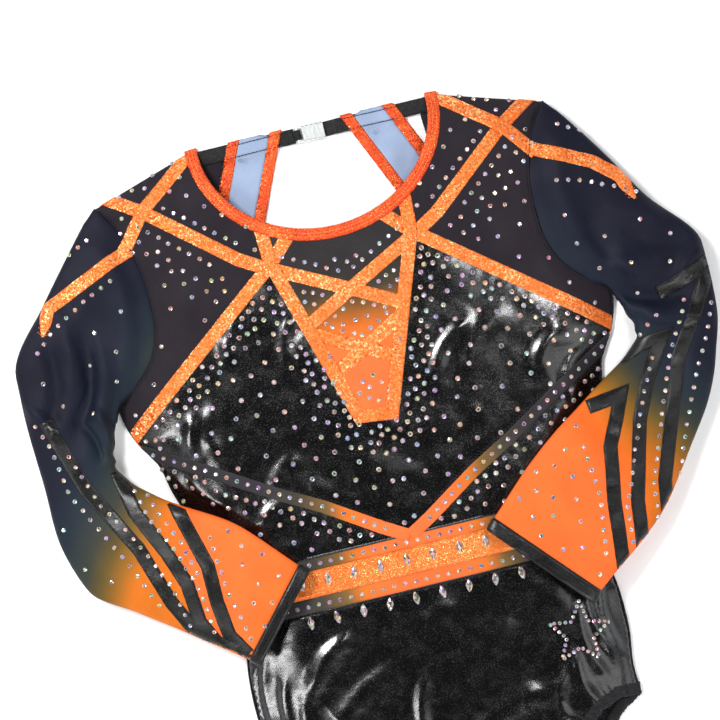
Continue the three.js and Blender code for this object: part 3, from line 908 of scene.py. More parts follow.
def topstitch(shape: Shape, ribbon: Ribbon, surface: Surface,
              offset: float, stitch: float = 2.3, radius: float = 0.24, lift: float = 0.5) -> Shape:
    """Sews a straight row of stitches.

    Args:
        shape: where the thread goes.
        ribbon: the band the row follows.
        surface: gives x, y, z on the surface for plan points.
        offset: the row's place across the band.
        stitch: the length of a stitch and the gap after it.
        radius: the thread's radius.
        lift: the row's height over the surface.

    Returns:
        The shape.
    """
    for start in np.arange(0.5, ribbon.length - stitch, stitch):
        places = start + np.linspace(0, stitch * 0.84, 5)
        path = surface(ribbon.at(places, np.full(5, offset)))
        path[:, 2] += lift + radius * np.array([-1.4, 0.1, 0.5, 0.1, -1.4])
        thread(shape, path, radius, 5)
    return shape


# ---- Materials ---------------------------------------------------------------------------------------


class Bench:
    """Builds node trees with few words."""

    def __init__(self, tree: bpy.types.NodeTree) -> None:
        """Holds the tree.

        Args:
            tree: the node tree to build in.
        """
        self.tree = tree

    def node(self, kind: str, values: dict | None = None, **props) -> bpy.types.Node:
        """Adds a node.

        Args:
            kind: the node's type.
            values: input values or sockets to link, by name or number.
            **props: the node's own settings.

        Returns:
            The node.
        """
        made = self.tree.nodes.new(kind)
        for key, value in props.items():
            setattr(made, key, value)
        for key, value in (values or {}).items():
            if isinstance(value, bpy.types.NodeSocket):
                self.tree.links.new(value, made.inputs[key])
            else:
                made.inputs[key].default_value = value
        return made

    def math(self, operation: str, a, b=0.0, clamp: bool = False) -> bpy.types.NodeSocket:
        """Adds a sum.

        Args:
            operation: the kind of sum.
            a: the first value or socket.
            b: the second value or socket.
            clamp: whether the result stays from 0 to 1.

        Returns:
            The result's socket.
        """
        return self.node("ShaderNodeMath", {0: a, 1: b}, operation=operation, use_clamp=clamp).outputs[0]

    def mix(self, amount, a, b, blend: str = "MIX") -> bpy.types.NodeSocket:
        """Mixes two colours.

        Args:
            amount: how much of the second, as a value or socket.
            a: the first colour or socket.
            b: the second colour or socket.
            blend: how they mix.

        Returns:
            The result's socket.
        """
        made = self.node("ShaderNodeMix", {0: amount}, data_type="RGBA", blend_type=blend)
        for index, value in ((6, a), (7, b)):
            if isinstance(value, bpy.types.NodeSocket):
                self.tree.links.new(value, made.inputs[index])
            else:
                made.inputs[index].default_value = (*value[:3], 1.0)
        return made.outputs[2]

    def spread(self, value, low: float, high: float, to_low: float = 0.0,
               to_high: float = 1.0) -> bpy.types.NodeSocket:
        """Maps a range to another one.

        Args:
            value: the value's socket.
            low: the first range's start.
            high: the first range's end.
            to_low: the second range's start.
            to_high: the second range's end.

        Returns:
            The result's socket.
        """
        return self.node("ShaderNodeMapRange", {0: value, 1: low, 2: high, 3: to_low, 4: to_high},
                         interpolation_type="SMOOTHSTEP").outputs[0]


class Effects:
    """The shader groups that materials share, each made once."""

    made: dict[str, bpy.types.NodeTree] = {}

    @classmethod
    def group(cls, name: str, sockets: dict[str, str], draw: Callable[[Bench], dict]) -> bpy.types.NodeTree:
        """Makes a group, or returns the one made before.

        Args:
            name: the group's name.
            sockets: its outputs and their types.
            draw: builds the nodes and returns a socket for each output.

        Returns:
            The group.
        """
        if name not in cls.made:
            tree = bpy.data.node_groups.new(name, "ShaderNodeTree")
            for label, kind in sockets.items():
                tree.interface.new_socket(label, in_out="OUTPUT", socket_type=kind)
            bench = Bench(tree)
            results = draw(bench)
            out = bench.node("NodeGroupOutput")
            for label, socket in results.items():
                tree.links.new(socket, out.inputs[label])
            cls.made[name] = tree
        return cls.made[name]

    @staticmethod
    def coordinates(bench: Bench, scale: tuple[float, float, float] = (1, 1, 1),
                    turn: float = 0.0) -> bpy.types.NodeSocket:
        """Object coordinates in metres.

        Args:
            bench: the tree's bench.
            scale: the stretch along each axis.
            turn: the turn about the upright axis.

        Returns:
            The coordinates' socket.
        """
        place = bench.node("ShaderNodeTexCoord").outputs["Object"]
        return bench.node("ShaderNodeMapping", {"Vector": place, "Scale": scale,
                                                "Rotation": (0, 0, turn)}).outputs[0]

    @classmethod
    def knit(cls) -> bpy.types.NodeTree:
        """Fine diagonal knit: columns of loops, with lint and soft shade.

        Returns:
            The group, with outputs Height, Shade and Lint.
        """
        def draw(bench: Bench) -> dict:
            """Lays out the group's nodes and names its outputs."""
            place = cls.coordinates(bench, turn=0.6)
            waves = [bench.node("ShaderNodeTexWave", {"Vector": place, "Scale": scale, "Distortion": 1.2,
                                "Detail": 1.0, "Detail Scale": 2.0}, bands_direction=axis).outputs["Fac"]
                     for axis, scale in (("X", 330.0), ("Y", 430.0))]
            loops = bench.math("MULTIPLY", *waves)
            lint = bench.node("ShaderNodeTexNoise", {"Vector": place, "Scale": 900.0, "Detail": 2.0})
            shade = bench.node("ShaderNodeTexNoise", {"Vector": place, "Scale": 34.0, "Detail": 3.0})
            return {"Height": bench.math("ADD", loops, bench.math("MULTIPLY", lint.outputs[0], 0.6)),
                    "Shade": bench.spread(shade.outputs[0], 0.3, 0.7),
                    "Lint": bench.spread(lint.outputs[0], 0.55, 0.75)}
        return cls.group("knit", {"Height": "NodeSocketFloat", "Shade": "NodeSocketFloat",
                                  "Lint": "NodeSocketFloat"}, draw)

    @classmethod
    def foil(cls) -> bpy.types.NodeTree:
        """Wet-look foil on stretch cloth: drag lines, small creases and silvery speckle.

        Returns:
            The group, with outputs Height, Speckle and Wear.
        """
        def draw(bench: Bench) -> dict:
            """Lays out the group's nodes and names its outputs."""
            drag = bench.node("ShaderNodeTexNoise", {"Vector": cls.coordinates(bench, (26, 60, 30), 0.5),
                                                     "Scale": 1.0, "Detail": 4.0, "Roughness": 0.55})
            crease = bench.node("ShaderNodeTexNoise", {"Vector": cls.coordinates(bench), "Scale": 95.0,
                                                       "Detail": 3.0, "Distortion": 0.6})
            grain = bench.node("ShaderNodeTexVoronoi", {"Vector": cls.coordinates(bench),
                                                        "Scale": 1500.0})
            speck = bench.node("ShaderNodeTexNoise", {"Vector": cls.coordinates(bench), "Scale": 1150.0,
                                                      "Detail": 1.0})
            small = bench.math("ADD", bench.math("MULTIPLY", crease.outputs[0], 0.07),
                               bench.math("MULTIPLY", grain.outputs["Distance"], 0.06))
            height = bench.math("ADD", drag.outputs[0], small)
            return {"Height": height, "Speckle": bench.spread(speck.outputs[0], 0.52, 0.70),
                    "Wear": bench.spread(crease.outputs[0], 0.4, 0.7)}
        return cls.group("foil", {"Height": "NodeSocketFloat", "Speckle": "NodeSocketFloat",
                                  "Wear": "NodeSocketFloat"}, draw)

    @classmethod
    def glitter(cls, scale: float, tilt: float) -> bpy.types.NodeTree:
        """Flakes that each lean their own way, and a mask of painted glints on bright flakes, stronger in
        patches.

        Args:
            scale: flakes to a metre.
            tilt: how far they lean.

        Returns:
            The group, with outputs Flake (the painted glint mask, which also makes the flakes smoother), Deep
            and Normal.
        """
        def draw(bench: Bench) -> dict:
            """Lays out the group's nodes and names its outputs."""
            cells = bench.node("ShaderNodeTexVoronoi", {"Vector": cls.coordinates(bench), "Scale": scale,
                                                        "Randomness": 1.0})
            lean = bench.node("ShaderNodeVectorMath", {0: cells.outputs["Color"], 1: (0.5, 0.5, 0.5)},
                              operation="SUBTRACT")
            lean = bench.node("ShaderNodeVectorMath", {0: lean.outputs[0], "Scale": tilt},
                              operation="SCALE")
            normal = bench.node("ShaderNodeNewGeometry").outputs["Normal"]
            tilted = bench.node("ShaderNodeVectorMath", {0: normal, 1: lean.outputs[0]}, operation="ADD")
            tilted = bench.node("ShaderNodeVectorMath", {0: tilted.outputs[0]}, operation="NORMALIZE")
            parts = bench.node("ShaderNodeSeparateColor", {0: cells.outputs["Color"]})
            # painted pools of light: patches where the flakes' painted glints are stronger
            glint_patch = bench.node("ShaderNodeTexNoise", {"Vector": cls.coordinates(bench), "Scale": 38.0})
            # the painted glint mask: bright cells, thinned out outside the patches
            flake_glint = bench.math("MULTIPLY", bench.spread(parts.outputs[0], 0.5, 0.95),
                               bench.spread(glint_patch.outputs[0], 0.35, 0.65, 0.3, 1.0))
            return {"Flake": flake_glint, "Deep": bench.spread(parts.outputs[1], 0.55, 0.95),
                    "Normal": tilted.outputs[0]}
        return cls.group(f"glitter_{scale:.0f}", {"Flake": "NodeSocketFloat", "Deep": "NodeSocketFloat",
                                     "Normal": "NodeSocketVector"}, draw)

    @classmethod
    def rib(cls) -> bpy.types.NodeTree:
        """Woven ribs with loose fibre.

        Returns:
            The group, with outputs Height and Shade.
        """
        def draw(bench: Bench) -> dict:
            """Lays out the group's nodes and names its outputs."""
            place = cls.coordinates(bench)
            waves = [bench.node("ShaderNodeTexWave", {"Vector": place, "Scale": scale, "Distortion": 2.0,
                                "Detail": 2.0}, bands_direction=axis).outputs["Fac"]
                     for axis, scale in (("X", 210.0), ("Y", 190.0))]
            fibre = bench.node("ShaderNodeTexNoise", {"Vector": place, "Scale": 620.0, "Detail": 3.0})
            return {"Height": bench.math("ADD", bench.math("MAXIMUM", *waves), fibre.outputs[0]),
                    "Shade": bench.spread(fibre.outputs[0], 0.35, 0.7)}
        return cls.group("rib", {"Height": "NodeSocketFloat", "Shade": "NodeSocketFloat"}, draw)


MADE: dict[str, bpy.types.Material] = {}


@dataclass(frozen=True)
class Finish:
    """How one material looks."""

    name: str
    grain: Grain
    base: str = "808080"
    # on glitter finishes the accent is the painted glint colour of bright flakes; elsewhere it is a real
    # fleck, loop or lint colour
    accent: str = "a0a0a0"
    deep: str = "404040"
    rough: float = 0.8
    metal: float = 0.0
    sheen: float = 0.0
    coat: float = 0.0
    specular: float = 0.5
    bump: float = 0.2
    bump_mm: float = 0.4
    cells: float = 900.0
    lean: float = 0.7
    printed: bool = False

    def material(self) -> bpy.types.Material:
        """Makes the material, or returns the one made before.

        Returns:
            The material.
        """
        if self.name in MADE:
            return MADE[self.name]
        made = MADE[self.name] = bpy.data.materials.new(f"look_{self.name}")
        made.use_nodes = True
        made.node_tree.nodes.clear()
        bench = Bench(made.node_tree)
        shader = bench.node("ShaderNodeBsdfPrincipled", {
            "Roughness": self.rough, "Metallic": self.metal, "Sheen Weight": self.sheen,
            "Sheen Roughness": 0.5, "Coat Weight": self.coat, "Coat Roughness": 0.15,
            "Specular IOR Level": self.specular, "Base Color": (*tone(self.base), 1)})
        painters = {Grain.KNIT: self._knit, Grain.MESH: self._knit, Grain.FOIL: self._foil,
                    Grain.GLITTER: self._glitter, Grain.RIB: self._rib}
        painters[self.grain](bench, shader)
        out = bench.node("ShaderNodeOutputMaterial")
        made.node_tree.links.new(shader.outputs[0], out.inputs[0])
        return made

    def _use(self, bench: Bench, tree: bpy.types.NodeTree) -> bpy.types.Node:
        """Puts a shared group in the material.

        Args:
            bench: the material's bench.
            tree: the group.

        Returns:
            The group's node.
        """
        made = bench.node("ShaderNodeGroup")
        made.node_tree = tree
        return made

    def _ground(self, bench: Bench):
        """The colour the grain is worked into.

        Args:
            bench: the material's bench.

        Returns:
            The printed colour's socket, or the plain base colour.
        """
        if self.printed:
            return bench.node("ShaderNodeAttribute", attribute_name="print").outputs["Color"]
        return tone(self.base)

    def _relief(self, bench: Bench, shader: bpy.types.Node, height, normal=None) -> None:
        """Gives the surface its bump.

        Args:
            bench: the material's bench.
            shader: the shader that takes the normal.
            height: the height's socket.
            normal: a normal to start from.
        """
        values = {"Height": height, "Strength": self.bump, "Distance": self.bump_mm * MM}
        if normal is not None:
            values["Normal"] = normal
        bump = bench.node("ShaderNodeBump", values)
        bench.tree.links.new(bump.outputs[0], shader.inputs["Normal"])

    def _knit(self, bench: Bench, shader: bpy.types.Node) -> None:
        """Works a knit grain into the colour.

        Args:
            bench: the material's bench.
            shader: the material's shader.
        """
        group = self._use(bench, Effects.knit())
        ground = self._ground(bench)
        darker = bench.mix(1.0, ground, (0.62, 0.6, 0.62), "MULTIPLY")
        shaded = bench.mix(bench.math("MULTIPLY", group.outputs["Shade"], 0.45), ground, darker)
        loops = bench.math("MULTIPLY", group.outputs["Height"], 0.22)
        woven = bench.mix(loops, shaded, tone(self.accent) if not self.printed else ground)
        lint = bench.math("MULTIPLY", group.outputs["Lint"], 0.02 if self.printed else 0.1)
        colour = bench.mix(lint, woven, tone(self.accent))
        bench.tree.links.new(colour, shader.inputs["Base Color"])
        rough = bench.math("ADD", bench.math("MULTIPLY", group.outputs["Shade"], 0.12), self.rough - 0.06)
        bench.tree.links.new(rough, shader.inputs["Roughness"])
        self._relief(bench, shader, group.outputs["Height"])

    def _foil(self, bench: Bench, shader: bpy.types.Node) -> None:
        """Works foil into the colour.

        Args:
            bench: the material's bench.
            shader: the material's shader.
        """
        group = self._use(bench, Effects.foil())
        speck = bench.math("MULTIPLY", group.outputs["Speckle"], 0.7)
        colour = bench.mix(speck, tone(self.base), tone(self.accent))
        bench.tree.links.new(colour, shader.inputs["Base Color"])
        worn = bench.math("MULTIPLY", group.outputs["Wear"], 0.10)
        specked = bench.math("MULTIPLY", group.outputs["Speckle"], 0.14)
        rough = bench.math("ADD", bench.math("ADD", worn, specked), self.rough - 0.08)
        bench.tree.links.new(rough, shader.inputs["Roughness"])
        self._relief(bench, shader, group.outputs["Height"])

    def _glitter(self, bench: Bench, shader: bpy.types.Node) -> None:
        """Works leaning flakes into the colour, with painted glints in the accent colour on bright flakes.

        Args:
            bench: the material's bench.
            shader: the material's shader.
        """
        group = self._use(bench, Effects.glitter(self.cells, self.lean))
        low = bench.mix(bench.math("MULTIPLY", group.outputs["Deep"], 0.7), tone(self.base),
                        tone(self.deep))
        # painted glints: bright flakes take the pale accent colour
        colour = bench.mix(group.outputs["Flake"], low, tone(self.accent))
        bench.tree.links.new(colour, shader.inputs["Base Color"])
        rough = bench.spread(group.outputs["Flake"], 0, 1, self.rough + 0.06, self.rough - 0.14)
        bench.tree.links.new(rough, shader.inputs["Roughness"])
        rib = self._use(bench, Effects.rib())
        self._relief(bench, shader, rib.outputs["Height"], group.outputs["Normal"])

    def _rib(self, bench: Bench, shader: bpy.types.Node) -> None:
        """Works woven ribs into the colour.

        Args:
            bench: the material's bench.
            shader: the material's shader.
        """
        group = self._use(bench, Effects.rib())
        colour = bench.mix(bench.math("MULTIPLY", group.outputs["Shade"], 0.5), tone(self.base),
                           tone(self.accent))
        bench.tree.links.new(colour, shader.inputs["Base Color"])
        self._relief(bench, shader, group.outputs["Height"])


FOIL = Finish("black_foil", Grain.FOIL, "030304", "141312", rough=0.24, metal=0.0, coat=0.3,
              specular=0.7, bump=0.36, bump_mm=1.1)
FOIL_STRIPE = Finish("foil_stripe", Grain.FOIL, "030304", "2c2b28", rough=0.38, metal=0.0, coat=0.0,
                     specular=0.36, bump=0.7, bump_mm=1.0)
YOKE_MESH = Finish("dark_mesh", Grain.MESH, "1c161d", "2f2630", rough=0.78, sheen=0.04,
                   specular=0.2, bump=0.35, bump_mm=0.35)
# the accents of the three glitter finishes below are the painted glint colours of their bright flakes
TAPE_GLITTER = Finish("orange_tape", Grain.GLITTER, "ea6c1c", "ffd492", "ad450a", rough=0.36,
                      metal=0.5, bump=0.35, bump_mm=0.3)
BAND_GLITTER = Finish("orange_band", Grain.GLITTER, "e86a18", "ffd080", "c4500b", rough=0.28,
                      metal=0.5, bump=0.3, bump_mm=0.3, cells=2300.0, lean=0.35)
BINDING_FOIL = Finish("orange_binding", Grain.GLITTER, "d93a08", "ff8f3e", "982204", rough=0.34,
                      metal=0.5, bump=0.4, bump_mm=0.35, cells=1300.0)
PRINTED = Finish("printed_cloth", Grain.KNIT, accent="ffb98c", rough=0.68, sheen=0.06,
                 specular=0.3, bump=0.22, bump_mm=0.25, printed=True)
SLEEVE = Finish("sleeve_mesh", Grain.KNIT, accent="39456a", rough=0.6, specular=0.16,
                bump=0.3, bump_mm=0.3, printed=True)
PALE = Finish("pale_reverse", Grain.KNIT, "8c9fbd", "b3c2d8", rough=0.8, sheen=0.03, bump=0.4,
              bump_mm=0.3)
ELASTIC = Finish("black_elastic", Grain.RIB, "0c0c0e", "2b2b2e", rough=0.72, specular=0.3, bump=0.5,
                 bump_mm=0.4)
LINING = Finish("lining", Grain.KNIT, "16161a", "303036", rough=0.85, bump=0.2, bump_mm=0.3)
LABEL = Finish("label", Grain.KNIT, "e9e9e6", "ffffff", rough=0.7, bump=0.2, bump_mm=0.2)
ORANGE_THREAD = Finish("orange_thread", Grain.RIB, "f2762c", "ffb163", rough=0.42, metal=0.2,
                       bump=0.2, bump_mm=0.1)
BLACK_THREAD = Finish("black_thread", Grain.RIB, "121214", "3c3b38", rough=0.4, metal=0.2, bump=0.2,
                      bump_mm=0.1)


def crystal_material() -> bpy.types.Material:
    """Faceted glass with a coloured film: every facet has its own tint, with painted shade and glint in its
    brightness.

    Returns:
        The material.
    """
    if "crystal" in MADE:
        return MADE["crystal"]
    made = MADE["crystal"] = bpy.data.materials.new("look_crystal")
    made.use_nodes = True
    made.node_tree.nodes.clear()
    bench = Bench(made.node_tree)
    # the facet attribute holds each facet's film tint times its painted shade
    film = bench.node("ShaderNodeAttribute", attribute_name="facet").outputs["Color"]
    swirl = bench.node("ShaderNodeTexNoise", {"Vector": Effects.coordinates(bench), "Scale": 700.0})
    colour = bench.mix(bench.spread(swirl.outputs[0], 0.4, 0.7, 0.0, 0.35), film, (1.0, 0.95, 0.9))
    shader = bench.node("ShaderNodeBsdfPrincipled", {
        "Base Color": colour, "Roughness": 0.08, "Metallic": 0.35, "Coat Weight": 1.0,
        "Coat Roughness": 0.02, "Specular IOR Level": 0.8})
    out = bench.node("ShaderNodeOutputMaterial")
    made.node_tree.links.new(shader.outputs[0], out.inputs[0])
    return made


def plastic_material() -> bpy.types.Material:
    """Clear moulded plastic with faint flow marks.

    Returns:
        The material.
    """
    made = bpy.data.materials.new("look_clear_plastic")
    made.use_nodes = True
    made.node_tree.nodes.clear()
    bench = Bench(made.node_tree)
    flow = bench.node("ShaderNodeTexNoise", {"Vector": Effects.coordinates(bench, (1, 3, 1)),
                                             "Scale": 260.0, "Detail": 3.0})
    tint = bench.mix(flow.outputs[0], tone("d6dcda"), tone("f6f8f6"))
    bump = bench.node("ShaderNodeBump", {"Height": flow.outputs[0], "Strength": 0.25,
                                         "Distance": 0.0004})
    shader = bench.node("ShaderNodeBsdfPrincipled", {
        "Base Color": tint, "Roughness": 0.16, "IOR": 1.49, "Transmission Weight": 0.45,
        "Normal": bump.outputs[0], "Coat Weight": 0.4})
    out = bench.node("ShaderNodeOutputMaterial")
    made.node_tree.links.new(shader.outputs[0], out.inputs[0])
    return made


# ---- Dressing --------------------------------------------------------------------------------------


def dress(piece: bpy.types.Object, body: str, nodes: Sequence[str] = ()) -> bpy.types.Object:
    """Ties a finished piece to the frame.

    Args:
        piece: the piece.
        body: the body it moves with.
        nodes: the frame's nodes it stands for.

    Returns:
        The piece.
    """
    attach(piece, body)
    if nodes:
        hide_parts(*nodes)
    return piece


# ---- Front -----------------------------------------------------------------------------------------


@dataclass
class Front:
    """The arched front: its panels, bands and tapes."""

    step: float = 2.7
    solid: list[bpy.types.Object] = field(default_factory=list)
    laid: list[tuple[Line, float]] = field(default_factory=list)

    def build(self) -> None:
        """Builds every piece of the front."""
        self.build_panels()
        self.build_tapes()
        self.build_binding()
        self.build_seam_cords()

    def surface(self, cover: float = 1.0) -> Surface:
        """The surface that the next tape lies on.

        Args:
            cover: how far the tapes below lift it.

        Returns:
            A function from plan points to x, y, z.
        """
        laid = list(self.laid)

        def drop(xy: np.ndarray) -> np.ndarray:
            """Drops plan points onto the cloth and the tapes laid so far."""
            xy = keep_on_cloth(xy)
            return np.column_stack([xy, RELIEF.top(xy) + cover * tape_cover(xy, laid)])

        return drop

    def panel_name(self, middles: np.ndarray) -> np.ndarray:
        """Says which panel each place belongs to.

        Args:
            middles: plan points.

        Returns:
            The panel's name for each.
        """
        x, y = middles[:, 0], middles[:, 1]
        side = np.where(x > 0, "left", "right")
        yoke = sorted([(NODE[0], NODE[1]), (65, -100.5), (178, -188.6), (230, -229)])
        strip = sorted(STRIP_LINE)
        yoke_y = np.interp(np.abs(x), [p[0] for p in yoke], [p[1] for p in yoke])
        strip_y = np.interp(np.abs(x), [p[0] for p in strip], [p[1] for p in strip])
        half = [(51.4, 20), *V_LINE]
        insert = inside(middles, [*half, *[(-px, py) for px, py in reversed(half)]])
        names = np.where(y > strip_y, "front_panel", np.char.add("lower_side_", side))
        names = np.where((np.abs(x) > NODE[0]) & (y > yoke_y), np.char.add("yoke_", side), names)
        names = np.where(insert, "v_insert", names)
        names = np.where(y < WAIST_TOP, "waist_strip_upper", names)
        names = np.where(y < BAND_TOP, "waistband_front", names)
        names = np.where(y < BAND_BOTTOM, "waist_strip_lower", names)
        return np.where(y < WAIST_BOTTOM, "brief_front", names)

    def build_panels(self) -> None:
        """Cuts the front's cloth along its seams."""
        outline = [*body_outline(FRONT_LEG), *reversed(neck_arc(NECK_BINDING_WIDE - 1.5))]
        levels = ((130.6, WAIST_TOP), (128.2, BAND_TOP), (126.8, BAND_BOTTOM), (127.5, WAIST_BOTTOM))
        seams: list[Line] = [[(-x, y), (x, y)] for x, y in levels]
        for side in Side:
            seams += [side.line(V_LINE), side.line(((65, -100.5), NODE)),
                      side.line(((171.2, -183.3), (65, -100.5))),
                      side.line(((168, -194.8), *STRIP_LINE[1:-1], (3.2, -292.8)))]
        seams.append([(-10.8, -209), (10.8, -209)])
        seams = [[(x * 0.995, y) if abs(y - WAIST_TOP) < 40 and abs(x) > 120 else (x, y)
                  for x, y in seam] for seam in seams]
        net = Tessellation.over(outline, seams, self.step)
        names = self.panel_name(net.middles())
        top = RELIEF.top(net.xy)
        finishes = {"front_panel": (FOIL, "black_foil"), "v_insert": (PRINTED, "printed_insert"),
                    "waist_strip_upper": (PRINTED, "printed_strip"),
                    "waist_strip_lower": (PRINTED, "printed_strip"),
                    "waistband_front": (BAND_GLITTER, "orange_foil_band"),
                    "brief_front": (FOIL, "black_foil")}
        for side in Side:
            finishes[f"yoke_{side.label}"] = (YOKE_MESH, "dark_mesh")
            finishes[f"lower_side_{side.label}"] = (FOIL, "black_foil")
        for name, (finish, slot) in finishes.items():
            chosen = names == name
            tints = self.print_of(name, net.xy) if finish.printed else None
            lift = 0.25 * (name == "waistband_front")
            shape = slab(net.xy, net.tris[chosen], top + lift, CLOTH_THICK, tints)
            piece = dress(shape.build(f"cloth_{name}", finish.material()), "bodice", [name])
            self.solid.append(piece)
            if name != NARROW_STRIP:
                wide, long, area = net.area(chosen)

    def print_of(self, name: str, xy: np.ndarray) -> np.ndarray:
        """The printed colours of a panel.

        Args:
            name: the panel's name.
            xy: plan points.

        Returns:
            One colour a point.
        """
        if name == "v_insert":
            return INSERT_RUN.at(xy[:, 1] + 1.5 * np.sin(xy[:, 0] * 0.11))
        return STRIP_RUN.at(np.abs(xy[:, 0] - 4) + 2)

    def build_tapes(self) -> None:
        """Sews on the tapes, in the order in which they cross."""
        queue: list[tuple[str, Line, float, list[str]]] = []
        for side in Side:
            name = f"yoke_tape_{side.label}"
            queue.append((name, side.line(YOKE_TAPE), TAPE_WIDE, [name]))
        for side in reversed(Side):
            name = f"lattice_tape_{side.label}"
            queue.append((name, side.line(LATTICE_TAPE), TAPE_WIDE, [name]))
        for side in reversed(Side):
            name = f"cross_tape_{side.label}"
            queue.append((name, side.line(CROSS_TAPE), TAPE_WIDE, [name]))
        for side in Side:
            name = f"shoulder_tape_{side.label}"
            queue.append((name, side.line(SHOULDER_TAPE), TAPE_WIDE, [name]))
        queue.append(("v_tape", V_TAPE, TAPE_WIDE, ["v_tape_left", "v_tape_right", "v_point_tape"]))
        threads = Shape()
        for name, line, wide, nodes in queue:
            surface = self.surface()
            ribbon = Ribbon(line, wide)
            piece = lay_tape(Shape(), ribbon, surface, 1.0).build(f"sewn_{name}", TAPE_GLITTER.material())
            self.solid.append(dress(piece, "bodice", nodes))
            for low, high in ((wide / 2 - 0.6, 0.5), (-wide / 2 + 0.6, -0.5)):
                zigzag(threads, ribbon, surface, low, high, 1.55, 0.26, 0.5)
            self.laid.append((line, wide))
        dress(threads.build("tape_zigzag_stitching", ORANGE_THREAD.material()), "bodice")
        self.build_strips()

    def build_strips(self) -> None:
        """Sews on the printed strips under the bust and their black zigzag edges."""
        threads = Shape()
        for side in Side:
            line = side.line(STRIP_LINE)
            ribbon = Ribbon(line, STRIP_WIDE)
            surface = self.surface(0.0)
            shape = lay_tape(Shape(), ribbon, surface, 0.9)
            xy = shape.verts[0][:, :2]
            shape.tints.append(STRIP_RUN.at(np.abs(xy[:, 0] - 4) + 2))
            piece = shape.build(f"sewn_underbust_strip_{side.label}", PRINTED.material())
            self.solid.append(dress(piece, "bodice",
                                    [f"underbust_strip_{side.label}"]))
            clear = Ribbon(side.line([p for p in STRIP_LINE if p[0] > 20] + [(24, -279.9)]), STRIP_WIDE)
            for edge in (1, -1):
                zigzag(threads, clear, surface, edge * (STRIP_WIDE / 2 + 0.1),
                       edge * (STRIP_WIDE / 2 + 2.2), 1.3, 0.2, 0.22)
        surface = self.surface(0.0)
        for y in (WAIST_TOP + 1.3, WAIST_BOTTOM - 1.3):
            level = Ribbon([(-124, y), (124, y)], 4)
            zigzag(threads, level, surface, -1.0, 1.0, 1.3, 0.2, 0.25)
        dress(threads.build("strip_zigzag_stitching", BLACK_THREAD.material()), "bodice")
        bright = Shape()
        for y in (BAND_TOP - 1.8, BAND_BOTTOM + 1.8):
            level = Ribbon([(-122, y), (122, y)], 4)
            zigzag(bright, level, surface, -1.5, 1.5, 1.3, 0.24, 0.5)
        dress(bright.build("waistband_zigzag_stitching", ORANGE_THREAD.material()), "bodice")

    def build_binding(self) -> None:
        """Binds the neck line, with two rows of stitches."""
        arc = neck_arc(NECK_BINDING_WIDE / 2, 2.2)
        line = [(arc[0][0] + 0.2, 2.8), *arc, (arc[-1][0] - 0.2, 2.8)]
        ribbon = Ribbon(line, NECK_BINDING_WIDE, 1.6)
        laid = list(self.laid)

        def surface(xy: np.ndarray) -> np.ndarray:
            """Follows the front, and drops to the elastic past the shoulders."""
            z = RELIEF.top(xy) + 0.9 * tape_cover(xy, laid)
            drop = ease((xy[:, 1] + 3) / 8)
            return np.column_stack([xy, z * (1 - drop) + 2.2 * drop])

        crown = ((-0.5, -1.6), (-0.53, -0.5), (-0.47, 0.5), (-0.38, 0.95), (-0.24, 1.12), (-0.1, 1.0),
                 (0.05, 1.14), (0.2, 1.02), (0.34, 1.1), (0.44, 0.8), (0.5, 0.2), (0.5, -0.3))
        piece = lay_tape(Shape(), ribbon, surface, 1.0, crown, 0.05, 0.5)
        piece = piece.build("bound_neck_edge", BINDING_FOIL.material())
        self.solid.append(dress(piece, "bodice", ["neck_binding"]))
        threads = Shape()
        for offset in (-0.1 * NECK_BINDING_WIDE, 0.2 * NECK_BINDING_WIDE):
            topstitch(threads, ribbon, surface, offset, 2.2, 0.24, 1.12)
        zigzag(threads, ribbon, surface, -4.0, -1.6, 1.25, 0.16, 1.02)
        dress(threads.build("neck_binding_stitching", ORANGE_THREAD.material()), "bodice")

    def build_seam_cords(self) -> None:
        """Runs a rolled seam down each armhole and side."""
        shape = Shape()
        for side in Side:
            for line in (ARMHOLE, SIDE_SEAM):
                xy = smooth_line(side.line(line), 2.5)
                z = RELIEF.top(xy) - 0.1 + 0.12 * np.sin(np.arange(len(xy)) * 2.1)
                thread(shape, np.column_stack([xy, z]), 0.62, 6)
        dress(shape.build("rolled_seams", YOKE_MESH.material()), "bodice")


# ---- Back ------------------------------------------------------------------------------------------


